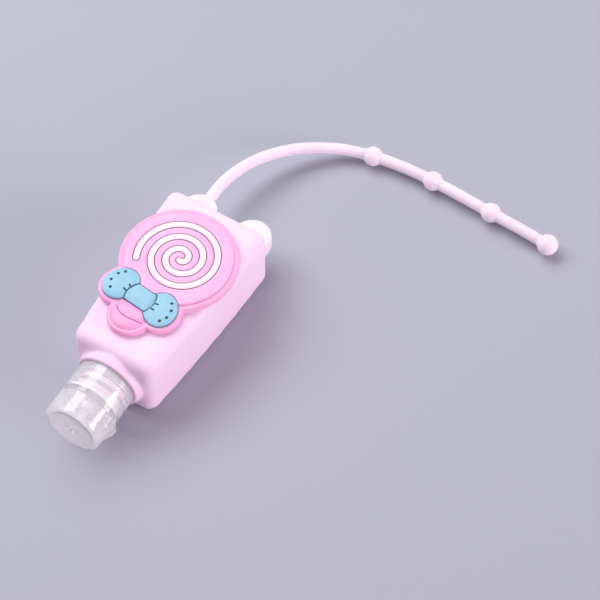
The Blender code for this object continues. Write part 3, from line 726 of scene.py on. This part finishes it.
def bow_outlines(grow):
    return [loop_outline(-1, grow), loop_outline(1, grow), knot_outline(grow)]


def base_plate(grow, bottom, top):
    """The lollipop's whole outline: the disc, the bow and the wrapper, drawn larger or smaller."""
    return joined_plates([circle(RIM_RADIUS + grow, 96), *bow_outlines(BOW_FLANGE + grow),
                          tail_outline(TAIL_FLANGE + grow)], bottom, top)


def soften(item, grid, rounds, keep=1.0):
    """Gives a shape an even skin and rounds its edges, as soft rubber leaves the mould."""
    skin = item.modifiers.new("Even skin", "REMESH")
    skin.mode = "VOXEL"
    skin.voxel_size = grid
    rounding = item.modifiers.new("Soft edges", "SMOOTH")
    rounding.factor = 0.5
    rounding.iterations = rounds
    if keep < 1:
        fewer = item.modifiers.new("Fewer faces", "DECIMATE")
        fewer.ratio = keep
    apply_modifiers(item)
    bpy.ops.object.shade_smooth()


sleeve = tapered_block(NEAR_Y, FAR_Y, SLEEVE_NEAR_WIDTH, SLEEVE_FAR_WIDTH, 0.0, SLEEVE_THICKNESS,
                       SLEEVE_BULGE, SLEEVE_EDGE, 8)
combine(sleeve, turned([
    (0.0, COLLAR_REACH),
    (COLLAR_RIM, COLLAR_REACH),
    (COLLAR_ROOT, 0.0),
    (COLLAR_ROOT, -SLEEVE_WALL),
    (0.0, -SLEEVE_WALL),
], False), "UNION")
for lug_x, lug_radius, lug_reach in LUGS:
    outline = [(lug_x + lug_radius, FAR_Y - SLEEVE_WALL),
               *arc((lug_x, FAR_Y + lug_reach - lug_radius), lug_radius, 0.0, math.pi, 24),
               (lug_x - lug_radius, FAR_Y - SLEEVE_WALL)]
    draw_line([(x, y, AXIS_Z - LUG_THICKNESS / 2) for x, y in outline])
    raise_outline(LUG_THICKNESS)
    combine(sleeve, leave_edit(), "UNION")
stub_y = FAR_Y + LUGS[0][2]
bpy.ops.mesh.primitive_cone_add(
    vertices=32, radius1=STRAP_RADIUS + STUB_FLARE, radius2=STRAP_RADIUS + STUB_PROUD,
    depth=STUB_LENGTH, location=(LUGS[0][0], stub_y + STUB_REACH - STUB_LENGTH / 2, AXIS_Z),
    rotation=(-math.pi / 2, 0, 0))
apply_place()
combine(sleeve, bpy.context.object, "UNION")
combine(sleeve, base_plate(-PAD_INSET, SLEEVE_THICKNESS - PAD_HEIGHT, SLEEVE_THICKNESS), "UNION")
soften(sleeve, SLEEVE_GRID, 10, 0.5)
combine(sleeve, tapered_block(
    NEAR_Y + SLEEVE_WALL, FAR_Y - SLEEVE_WALL, SLEEVE_NEAR_WIDTH - 2 * SLEEVE_WALL,
    SLEEVE_FAR_WIDTH - 2 * SLEEVE_WALL, SLEEVE_WALL, SLEEVE_THICKNESS - SLEEVE_WALL,
    SLEEVE_BULGE, BODY_EDGE, 4), "DIFFERENCE")
combine(sleeve, turned([
    (0.0, COLLAR_REACH * 2),
    (COLLAR_BORE + MOUTH_FLARE, COLLAR_REACH * 2),
    (COLLAR_BORE + MOUTH_FLARE, COLLAR_REACH),
    (COLLAR_BORE, COLLAR_REACH - MOUTH_DEPTH),
    (COLLAR_BORE, -2 * SLEEVE_WALL),
    (0.0, -2 * SLEEVE_WALL),
], False), "DIFFERENCE")
eyelet_x, eyelet_lug_radius, eyelet_reach = LUGS[1]
eyelet_y = FAR_Y + eyelet_reach - eyelet_lug_radius + EYELET_OUTSET
bpy.ops.mesh.primitive_cylinder_add(vertices=48, radius=EYELET_RADIUS, depth=4 * LUG_THICKNESS,
                                    location=(eyelet_x, eyelet_y, AXIS_Z))
apply_place()
combine(sleeve, bpy.context.object, "DIFFERENCE")
smooth(40)


def skin_group():
    """Moulded silicone: slow random changes of tone, a fine matte grain, lint, painted shade darkening
    its creases, and pale edges.
    """
    group, given, result = start_group(
        "Silicone skin", {"Color": ("Colour", "Deep colour", "Edge colour"),
                          "Float": ("Roughness", "Lint", "Speckle", "Folds")},
        {"Color": ("Colour",), "Float": ("Roughness", "Height")})
    place = object_place(group)
    deep = given["Deep colour"]
    bend = group.nodes.new("ShaderNodeNewGeometry").outputs["Pointiness"]
    cloud = spread(group, noise(group, place, 70.0, 4.0, 0.5), 0.35, 0.7, 0.0, 0.6)
    clouded = mix_colours(group, cloud, given["Colour"], deep)
    fine = spread(group, noise(group, place, 2100.0, 2.0, 0.7), 0.5, 0.68)
    speckled = mix_colours(group, add_math(group, "MULTIPLY", fine, given["Speckle"]), clouded, deep)
    # Painted shade: hollows and creases, found by their pointiness, are darkened towards a deeper pink,
    # as if less light reached them
    painted_fold_shade = add_math(group, "MULTIPLY", spread(group, bend, 0.40, 0.485, 1.0, 0.0), given["Folds"])
    fold_shaded = mix_colours(group, painted_fold_shade, speckled, (0.98, 0.62, 0.80, 1))
    fold_shaded.blend_type = "MULTIPLY"
    edged = mix_colours(group, spread(group, bend, 0.52, 0.62, 0.0, 0.7), fold_shaded, given["Edge colour"])
    cells = add_node(group, "TexVoronoi", Vector=place, Scale=210.0)
    speck = spread(group, cells, 0.035, 0.05, 1.0, 0.0)
    rare = spread(group, add_node(group, "SeparateColor", cells.outputs["Color"]), 0.80, 0.82)
    lint = add_math(group, "MULTIPLY", add_math(group, "MULTIPLY", speck, rare), given["Lint"])
    smudge = spread(group, noise(group, place, 130.0, 5.0, 0.6), 0.3, 0.7, -0.06, 0.08)
    feed_all(result, Colour=mix_colours(group, lint, edged, (0.95, 0.93, 0.95, 1)),
             Roughness=add_math(group, "ADD", smudge, given["Roughness"]),
             Height=noise(group, place, 3200.0, 3.0, 0.6))
    return group


silicone_skin = skin_group()


def silicone_material(name, colour, deep, edge, roughness, lint, speckle=0.15, fold_shade=1.0, depth=0.0006):
    """Silicone that light enters a little way, so that its shadows glow."""
    material, tree, shader = blank_material(name)
    skin = use_group(tree, silicone_skin, Colour=(*colour, 1), Deep_colour=(*deep, 1),
                     Edge_colour=(*edge, 1), Roughness=roughness, Lint=lint, Speckle=speckle, Folds=fold_shade)
    feed_all(shader, Base_Color=skin["Colour"], Roughness=skin["Roughness"], IOR=1.42,
             Subsurface_Weight=0.5, Subsurface_Radius=(1.0, 0.42, 0.70), Subsurface_Scale=depth,
             Normal=add_node(tree, "Bump", Height=skin["Height"], Strength=0.25, Distance=0.00005))
    return material


def lay_over(material, colour, mask):
    """Lays a colour over a material's own, as far as a mask goes."""
    base = material.node_tree.nodes["Principled BSDF"].inputs["Base Color"]
    feed(base, mix_colours(material.node_tree, mask, base.links[0].from_socket, (*colour, 1)))


pale_silicone = silicone_material("Pale pink silicone", (0.97, 0.70, 0.905), (0.96, 0.655, 0.885),
                                  (0.98, 0.79, 0.94), 0.42, 0.5, fold_shade=0.25)
pale_tree = pale_silicone.node_tree
# Painted light: the sleeve turns paler towards its far end, as if the lamps from behind lit it more there
along = add_node(pale_tree, "SeparateXYZ", object_place(pale_tree)).outputs["Y"]
lay_over(pale_silicone, (0.965, 0.82, 0.95), spread(pale_tree, along, 0.026, 0.050, 0.0, 0.8))
finish_piece(sleeve, "silicone_sleeve", pale_silicone, "sleeve_silicone", "sleeve")


# Lollipop's base plate
# The first layer of the picture: pink silicone that follows the outline of the disc, the bow and
# the wrapper, bonded on the sleeve while both are warm.
RIM_TOP = 0.0284
RIM_GRID = 0.00024
SEAT_DEPTH = 0.0003
rim = base_plate(0.0, SLEEVE_THICKNESS - SEAT_DEPTH, RIM_TOP)
soften(rim, RIM_GRID, 18, 0.35)
rim_silicone = silicone_material("Pink base silicone", (0.93, 0.46, 0.74), (0.91, 0.41, 0.70),
                                 (0.96, 0.60, 0.84), 0.42, 0.3)
finish_piece(rim, "lollipop_base", rim_silicone, "rim_silicone", "lollipop_rim")


# Candy disc
# The lollipop's pink disc, poured as one layer with a spiral groove left open in it for the darker
# line and the white stripe.
DISC_RADIUS = 0.0180
DISC_TOP = 0.0292
DISC_EDGE = 0.0005
GROOVE_FLOOR = 0.0285
GROOVE_ROUNDING = 0.0001
STRIPE_WIDTH = 0.0020
LINE_WIDTH = 0.00034
BOW_ROOM = 0.0003
SPIRAL_X = 0.0006
SPIRAL_Y = 0.0002
SPIRAL_START = math.radians(-80.0)
SPIRAL_INNER = 0.0009
SPIRAL_PITCH = 0.0048
SPIRAL_TURNS = 2.82
SPIRAL_STEPS = 48


def spiral_outline(width):
    """A band of one width along the spiral, with round ends."""
    count = round(SPIRAL_TURNS * SPIRAL_STEPS)
    line = []
    for step in range(count + 1):
        turns = SPIRAL_TURNS * step / count
        angle = SPIRAL_START + 2 * math.pi * turns
        radius = SPIRAL_INNER + SPIRAL_PITCH * turns
        line.append(Vector((SPIRAL_X + radius * math.cos(angle), SPIRAL_Y + radius * math.sin(angle))))
    outer, inner = [], []
    for step, point in enumerate(line):
        heading = (line[min(step + 1, count)] - line[max(step - 1, 0)]).normalized()
        aside = Vector((heading.y, -heading.x)) * width / 2
        outer.append(point + aside)
        if min((point - aside - other).length for other in line) > 0.49 * width:
            inner.append(point - aside)
    ends = []
    for point, edge in ((line[-1], outer[-1]), (line[0], 2 * line[0] - outer[0])):
        first = math.atan2(edge.y - point.y, edge.x - point.x)
        ends.append(arc(point, width / 2, first, first + math.pi, 10)[1:-1])
    return [tuple(point) for point in (*outer, *ends[0], *reversed(inner), *ends[1])]


def bow_room(grow, bottom, top):
    """The bow's whole outline as a block, to cut room for it."""
    return joined_plates(bow_outlines(grow), bottom, top)


def round_edges(item, width, segments=3, angle=50):
    """Rounds the sharp edges of a finished shape by a small radius."""
    edges = item.modifiers.new("Rounded edges", "BEVEL")
    edges.width = width
    edges.segments = segments
    edges.limit_method = "ANGLE"
    edges.angle_limit = math.radians(angle)
    apply_modifiers(item)


let_go()
bpy.ops.mesh.primitive_cylinder_add(
    vertices=160, radius=DISC_RADIUS, depth=DISC_TOP - RIM_TOP + SEAT_DEPTH,
    location=(0, DISC_Y, (DISC_TOP + RIM_TOP - SEAT_DEPTH) / 2))
apply_place()
disc = bpy.context.object
round_edges(disc, DISC_EDGE, 5)
combine(disc, bow_room(BOW_ROOM, SLEEVE_THICKNESS, DISC_TOP * 1.1), "DIFFERENCE")
combine(disc, plate(spiral_outline(STRIPE_WIDTH + 2 * LINE_WIDTH), GROOVE_FLOOR, DISC_TOP * 1.1),
        "DIFFERENCE")
round_edges(disc, GROOVE_ROUNDING, 2)
smooth()
disc_silicone = silicone_material("Pink candy silicone", (0.94, 0.50, 0.78), (0.92, 0.44, 0.74),
                                  (0.96, 0.60, 0.84), 0.4, 0.3)
finish_piece(disc, "candy_disc", disc_silicone, "disc_silicone", "lollipop_disc")


# Spiral's dark line
# A thin layer of mauve silicone at the groove's bottom, which shows as a fine line on both sides of
# the white stripe.
LINE_LOW = 0.0001
LINE_OVERLAP = 0.00004
line = plate(spiral_outline(STRIPE_WIDTH + 2 * LINE_WIDTH + LINE_OVERLAP),
             GROOVE_FLOOR - LINE_LOW, DISC_TOP - LINE_LOW)
mauve_silicone = silicone_material("Mauve line silicone", (0.25, 0.040, 0.125), (0.21, 0.03, 0.10),
                                   (0.30, 0.06, 0.16), 0.5, 0.0)
finish_piece(line, "spiral_line", mauve_silicone, "mauve_silicone", "swirl_outline")


# Spiral's white stripe
# White silicone poured last into the groove. It stands a hair above the disc, with soft edges.
STRIPE_PROUD = 0.0001
STRIPE_ROUNDING = 0.00022
stripe = plate(spiral_outline(STRIPE_WIDTH), GROOVE_FLOOR, DISC_TOP + STRIPE_PROUD)
round_edges(stripe, STRIPE_ROUNDING, 3)
smooth()
white_silicone = silicone_material("White stripe silicone", (0.94, 0.75, 0.88), (0.93, 0.72, 0.86),
                                   (0.96, 0.82, 0.92), 0.4, 0.0)
finish_piece(stripe, "spiral_stripe", white_silicone, "white_silicone", "swirl_stripe")


# Bow's dark backing
# Dark teal silicone under the bow. It shows as a thin outline, as the lines on both sides of the
# knot, and at the bottom of the small holes in the loops.
BOW_GAP = 0.0003
BOW_OUTLINE = 0.0001
OUTLINE_PROUD = 0.0001
GAP_FLOOR = 0.0292
GAP_MARGIN = 0.0001
GAP_END = 0.0012
backing = bow_room(BOW_OUTLINE, RIM_TOP - SEAT_DEPTH, RIM_TOP + OUTLINE_PROUD)
gap_filler = plate(knot_outline(BOW_GAP + GAP_MARGIN), RIM_TOP, GAP_FLOOR)
combine(gap_filler, plate(on_bow([
    (KNOT_X - KNOT_LENGTH / 2 + GAP_END, -KNOT_WIDTH), (KNOT_X + KNOT_LENGTH / 2 - GAP_END, -KNOT_WIDTH),
    (KNOT_X + KNOT_LENGTH / 2 - GAP_END, KNOT_WIDTH), (KNOT_X - KNOT_LENGTH / 2 + GAP_END, KNOT_WIDTH),
]), RIM_TOP / 2, 2 * RIM_TOP), "DIFFERENCE")
combine(backing, gap_filler, "UNION")
dark_silicone = silicone_material("Dark teal silicone", (0.014, 0.055, 0.095), (0.01, 0.05, 0.08),
                                  (0.02, 0.08, 0.13), 0.35, 0.0)
finish_piece(backing, "bow_backing", dark_silicone, "dark_silicone", "bow_outline")


# Bow
# Light blue silicone in three pads: two loops with a crowned face, and the knot between them. Each
# loop has a row of small holes near its edge and two short pleats at the knot.
BOW_LOW = RIM_TOP - SEAT_DEPTH
BOW_TOP = 0.0300
CROWN = 0.0006
CROWN_REACH = 0.0026
PAD_GRID = 0.00016
HOLE_RADIUS = 0.00056
HOLE_DEPTH = 0.0005
PLEAT_RADIUS = 0.00033
LEFT_HOLES = ((-0.01055, -0.02225), (-0.0121, -0.01976), (-0.0117, -0.01662), (-0.01025, -0.01472))
RIGHT_HOLES = ((0.01016, -0.02306), (0.01122, -0.02076), (0.01085, -0.01786), (0.00934, -0.01559))
LEFT_PLEATS = (((-0.0053, -0.0182), (-0.0061, -0.0179)), ((-0.0057, -0.0202), (-0.0067, -0.0201)))
RIGHT_PLEATS = (((0.0052, -0.0187), (0.0060, -0.0186)), ((0.0052, -0.0210), (0.0061, -0.0210)))


def crowned_pad(outline, bottom, top, rise, reach, grid, rounds, room=None):
    """A soft pad whose top rises from its edge towards its middle, and stops at the given height."""
    pad = plate(outline, bottom, top - rise)
    if room:
        combine(pad, plate(room, bottom / 2, top * 1.1), "DIFFERENCE")
    soften(pad, grid, rounds)
    border = [Vector(art_point(x, y)) for x, y in outline]
    for vert in pad.data.vertices:
        if vert.co.z < (bottom + top - rise) / 2:
            continue
        place = Vector((vert.co.x, vert.co.y))
        nearness = 0.0
        for here, there in zip(border, border[1:] + border[:1]):
            side = there - here
            share = max(0.0, min(1.0, (place - here).dot(side) / side.length_squared))
            distance = max(0.00001, (place - here - share * side).length)
            nearness += side.length / distance ** 4
        # For a long straight border this mean comes out as the plain distance to it
        from_edge = min(reach, (nearness * 2 / math.pi) ** (-1 / 3))
        vert.co.z += rise * math.sin(math.pi / 2 * from_edge / reach)
    return pad


def hole_outline(x, y):
    return [(x + px, y + py) for px, py in circle(HOLE_RADIUS, 24)]


def pleat_outline(start, end):
    """A short groove with round ends."""
    start, end = Vector(start), Vector(end)
    heading = math.atan2(end.y - start.y, end.x - start.x)
    return [*arc(end, PLEAT_RADIUS, heading - math.pi / 2, heading + math.pi / 2, 8),
            *arc(start, PLEAT_RADIUS, heading + math.pi / 2, heading + 3 * math.pi / 2, 8)]


bow_silicone = silicone_material("Light blue silicone", (0.39, 0.665, 0.82), (0.24, 0.53, 0.72),
                                 (0.50, 0.75, 0.86), 0.45, 0.4, 0.45)
inlays = []
for side, name, node, holes, pleats in (
        (-1, "bow_loop_left", "bow_left_loop", LEFT_HOLES, LEFT_PLEATS),
        (1, "bow_loop_right", "bow_right_loop", RIGHT_HOLES, RIGHT_PLEATS)):
    loop = crowned_pad(loop_outline(side, 0.0), BOW_LOW, BOW_TOP, CROWN, CROWN_REACH, PAD_GRID, 6,
                       knot_outline(BOW_GAP))
    outlines = [hole_outline(*place) for place in holes] + [pleat_outline(*ends) for ends in pleats]
    for outline in outlines:
        combine(loop, plate(outline, BOW_TOP - HOLE_DEPTH * 2, BOW_TOP * 1.1), "DIFFERENCE")
    smooth(40)
    finish_piece(loop, name, bow_silicone, "bow_silicone", node)
    inlays.append(joined_plates(outlines, BOW_LOW, BOW_TOP - HOLE_DEPTH))
combine(*inlays, "UNION")
finish_piece(inlays[0], "bow_inlays", dark_silicone, "dark_silicone")
knot = crowned_pad(knot_outline(0.0), BOW_LOW, BOW_TOP, CROWN, CROWN_REACH, PAD_GRID, 6)
finish_piece(knot, "bow_knot_pad", bow_silicone, "bow_silicone", "bow_knot")


# Gathered wrapper
# The candy's pink wrapper below the bow: a low crowned pad with one crease across it, where the
# foil would be drawn together.
TAIL_TOP = 0.0294
TAIL_CROWN = 0.0008
TAIL_CROWN_REACH = 0.0020
CREASE = ((-0.0058, -0.0250), (-0.0048, -0.0262), (-0.0033, -0.0272), (-0.0015, -0.0278),
          (0.0008, -0.0278), (0.0034, -0.0274), (0.0057, -0.0269))
CREASE_RADIUS = 0.00020
VALLEY_DEPTH = 0.00022
VALLEY_REACH = 0.0007
CREASE_SHADE_REACH = 0.00022


def smooth_route(points, parts):
    """Points along a smooth curve through the given ones."""
    knots = [Vector(point) for point in points]
    padded = [2 * knots[0] - knots[1], *knots, 2 * knots[-1] - knots[-2]]
    fine = []
    for a, b, c, d in zip(padded, padded[1:], padded[2:], padded[3:]):
        for part in range(parts):
            t = part / parts
            fine.append(0.5 * (2 * b + (c - a) * t + (2 * a - 5 * b + 4 * c - d) * t ** 2
                               + (3 * b - a - 3 * c + d) * t ** 3))
    return [*fine, knots[-1]]


def round_rod(name, points, radius, resolution):
    """A round rod along points, as a curve."""
    curve = bpy.data.curves.new(name, "CURVE")
    curve.dimensions = "3D"
    curve.bevel_depth = radius
    curve.bevel_resolution = resolution
    curve.use_fill_caps = True
    spline = curve.splines.new("POLY")
    spline.points.add(len(points) - 1)
    for point, place in zip(spline.points, points):
        point.co = (*place, 1.0)
    spline.use_smooth = True
    rod = bpy.data.objects.new(name, curve)
    bpy.context.scene.collection.objects.link(rod)
    return rod


def apart(co, place):
    """How far apart two points are, seen from above."""
    return math.hypot(co.x - place.x, co.y - place.y)


def crease_share(co, reach, power):
    """1 on the crease, and falling to 0 beside it."""
    return math.exp(-(min(apart(co, place) for place in crease) / reach) ** power)


tail = crowned_pad(tail_outline(0.0), BOW_LOW, TAIL_TOP, TAIL_CROWN, TAIL_CROWN_REACH, PAD_GRID, 12)
crease = smooth_route([(*art_point(x, y), TAIL_TOP) for x, y in CREASE], 6)
for vert in tail.data.vertices:
    if vert.co.z > RIM_TOP:
        vert.co.z -= VALLEY_DEPTH * crease_share(vert.co, VALLEY_REACH, 2)
combine(tail, bow_room(BOW_ROOM, SLEEVE_THICKNESS, TAIL_TOP * 1.1), "DIFFERENCE")
face = [vert.co for vert in tail.data.vertices if vert.co.z > RIM_TOP]
crease_route = []
for place in crease:
    nearest = min(face, key=lambda co: apart(co, place))
    crease_route.append((place.x, place.y, nearest.z - CREASE_RADIUS / 3))
crease_tool = round_rod("crease", crease_route, CREASE_RADIUS, 3)
pick(crease_tool)
bpy.ops.object.convert(target="MESH")
edit_mesh()
combine(tail, leave_edit(), "DIFFERENCE")
smooth(60)
# Painted shade: a mask along the bottom of the crease, where the groove would be shaded
crease_shade = tail.data.attributes.new("crease_painted_shade", "FLOAT", "POINT")
for vert, value in zip(tail.data.vertices, crease_shade.data):
    value.value = crease_share(vert.co, CREASE_SHADE_REACH, 4)
wrapper_silicone = silicone_material("Pink wrapper silicone", (0.93, 0.44, 0.74), (0.91, 0.39, 0.70),
                                     (0.95, 0.55, 0.81), 0.4, 0.3, depth=0.00035)
crease_shade_mask = add_node(wrapper_silicone.node_tree, "Attribute")
crease_shade_mask.attribute_name = "crease_painted_shade"
# Painted shade: the wrapper is darkened to a deep pink along its crease
lay_over(wrapper_silicone, (0.62, 0.20, 0.42), crease_shade_mask.outputs["Fac"])
finish_piece(tail, "wrapper", wrapper_silicone, "disc_silicone", "wrapper_tail")


# Strap
# A round tail of the sleeve's own silicone, grown out of the left lug. It is soft, so it rises over
# the lug, falls to the table and lies there. The other lug's eyelet takes it and holds it at a bead.
BEAD_RADIUS = 0.0034
END_BALL_RADIUS = 0.0036
STRAP_ROUTE = (
    (-0.0103, 0.0475, 0.0130), (-0.0104, 0.0555, 0.0128), (-0.0097, 0.0615, 0.0122),
    (-0.0080, 0.0690, 0.0110), (-0.0054, 0.0754, 0.0096), (-0.0018, 0.0817, 0.0081),
    (0.0030, 0.0876, 0.0065), (0.0086, 0.0924, 0.0051), (0.0154, 0.0965, 0.0040),
    (0.0243, 0.0992, 0.0035), (0.0355, 0.1007, 0.0035), (0.0471, 0.1009, 0.0035),
    (0.0586, 0.1004, 0.0035), (0.0704, 0.0997, 0.0035), (0.0820, 0.0990, 0.0036),
    (0.0931, 0.0981, 0.0037),
)
BEAD_POINTS = (9, 11, 13)
# Painted light: the strap is the sleeve's own silicone, but is drawn paler to stand for the stronger
# light that falls on it
strap_silicone_painted_light = silicone_material("Pale pink silicone of the strap", (0.975, 0.81, 0.95),
                                  (0.97, 0.75, 0.93), (0.98, 0.88, 0.97), 0.42, 0.3)
strap = round_rod("soft_strap", smooth_route(STRAP_ROUTE, 8), STRAP_RADIUS, 6)
finish_piece(strap, "soft_strap", strap_silicone_painted_light, "sleeve_silicone", "strap")


# Beads and end ball
# Thickenings of the strap, moulded with it: three beads that can be pulled through the eyelet, and
# a ball on the end.
FILLET = 0.0007


def bead_shape(centre, heading, radius, both):
    """A ball on the strap with a soft hollow where it runs into the strap."""
    let_go()
    bpy.ops.mesh.primitive_uv_sphere_add(segments=48, ring_count=32, radius=radius, location=(0, 0, 0))
    bpy.ops.object.mode_set(mode="EDIT")
    cut_at = math.sqrt(radius ** 2 - (STRAP_RADIUS + FILLET * 0.6) ** 2)
    for side in (-1, 1) if both else (-1,):
        choose_all()
        bpy.ops.mesh.bisect(plane_co=(0, 0, side * cut_at), plane_no=(0, 0, side), clear_outer=True)
        choose_edges(lambda line: line.is_boundary and line.verts[0].co.z * side > cut_at * 0.9)
        rim_radius = math.sqrt(radius ** 2 - cut_at ** 2)
        now_radius, now_out = rim_radius, 0.0
        for share, out in ((0.55, 0.25), (0.25, 0.6), (0.08, 1.0), (-0.04, 1.5)):
            wanted = STRAP_RADIUS + (rim_radius - STRAP_RADIUS) * share
            outwards = (0, 0, side * FILLET * (out - now_out))
            bpy.ops.mesh.extrude_region_move(TRANSFORM_OT_translate={"value": outwards})
            bpy.ops.transform.resize(value=(wanted / now_radius, wanted / now_radius, 1),
                                     center_override=(0, 0, 0))
            now_radius, now_out = wanted, out
        bpy.ops.mesh.edge_face_add()
    choose_all()
    bpy.ops.mesh.normals_make_consistent(inside=False)
    bpy.ops.object.mode_set(mode="OBJECT")
    item = bpy.context.object
    turn = heading.to_track_quat("Z", "Y").to_matrix().to_4x4()
    item.data.transform(Matrix.Translation(centre) @ turn)
    bpy.ops.object.shade_smooth()
    return item


knots = [Vector(point) for point in STRAP_ROUTE]
for number, index in enumerate(BEAD_POINTS, start=1):
    heading = (knots[index + 1] - knots[index - 1]).normalized()
    bead = bead_shape(knots[index], heading, BEAD_RADIUS, True)
    finish_piece(bead, f"strap_bead_{number}_skin", strap_silicone_painted_light, "sleeve_silicone",
                 f"strap_bead_{number}")
heading = (knots[-1] - knots[-2]).normalized()
end_ball = bead_shape(knots[-1], heading, END_BALL_RADIUS, False)
finish_piece(end_ball, "strap_end_ball_skin", strap_silicone_painted_light, "sleeve_silicone", "strap_end_ball")


# Floor, light and camera
# A plain grey-lavender table, two wide soft lamps from the left and behind, a low one from the right,
# and a weak one in front.
FLOOR_SIZE = 3.0
CAMERA_TARGET = Vector((0.03224, 0.03784, 0.0))
CAMERA_DISTANCE = 0.870
CAMERA_AZIMUTH = math.radians(31.4)
CAMERA_ELEVATION = math.radians(57.3)
SENSOR_WIDTH = 36.0
LENS = 156.4

let_go()
bpy.ops.mesh.primitive_plane_add(size=FLOOR_SIZE, location=(0, 0, 0))
floor = bpy.context.object
floor.name = "table"
floor_material, floor_tree, floor_shader = blank_material("Table paper")
floor_cloud = noise(floor_tree, object_place(floor_tree), 3.0, 2.0, 0.5)
feed_all(floor_shader, Roughness=0.8, Base_Color=mix_colours(
    floor_tree, floor_cloud, (0.415, 0.425, 0.505, 1), (0.435, 0.435, 0.515, 1)))
floor.data.materials.append(floor_material)

world = bpy.data.worlds.new("Studio")
bpy.context.scene.world = world
world.use_nodes = True
world_tree = world.node_tree
# Seen through the clear plastic, the studio is a pale wall
through = add_node(world_tree, "LightPath").outputs["Is Transmission Ray"]
feed_all(world_tree.nodes["Background"], Strength=0.33, Color=mix_colours(
    world_tree, through, (1.0, 0.92, 0.93, 1), (3.45, 3.35, 3.5, 1)))


def lamp(name, place, target, size, power, colour):
    data = bpy.data.lights.new(name, "AREA")
    data.shape = "DISK"
    data.size = size
    data.energy = power
    data.color = colour
    item = bpy.data.objects.new(name, data)
    bpy.context.scene.collection.objects.link(item)
    item.location = place
    item.rotation_euler = (Vector(target) - Vector(place)).to_track_quat("-Z", "Y").to_euler()
    item.visible_camera = False
    return item


lamp("Left key", (-0.84, -0.06, 0.98), (0.01, 0.02, 0), 0.85, 8.4, (0.97, 1.0, 1.0))
lamp("Rear key", (-0.59, 0.58, 1.05), (0.01, 0.02, 0), 0.85, 8.2, (0.97, 1.0, 1.0))
lamp("Low side lamp", (1.10, 0.15, 0.30), (0.01, 0.02, 0.01), 0.60, 8.4, (1.0, 0.93, 0.97))
lamp("Front fill", (0.35, -1.10, 0.28), (0.01, 0.02, 0.01), 0.60, 1.6, (1.0, 0.80, 0.92))

camera_data = bpy.data.cameras.new("Camera")
camera_data.lens = LENS
camera_data.sensor_width = SENSOR_WIDTH
camera_data.clip_start = 0.01
camera_data.clip_end = 10.0
camera = bpy.data.objects.new("Camera", camera_data)
bpy.context.scene.collection.objects.link(camera)
away = Vector((math.sin(CAMERA_AZIMUTH) * math.cos(CAMERA_ELEVATION),
               -math.cos(CAMERA_AZIMUTH) * math.cos(CAMERA_ELEVATION), math.sin(CAMERA_ELEVATION)))
camera.location = CAMERA_TARGET + away * CAMERA_DISTANCE
camera.rotation_euler = (-away).to_track_quat("-Z", "Y").to_euler()
bpy.context.scene.camera = camera
bpy.context.scene.view_settings.view_transform = "Standard"
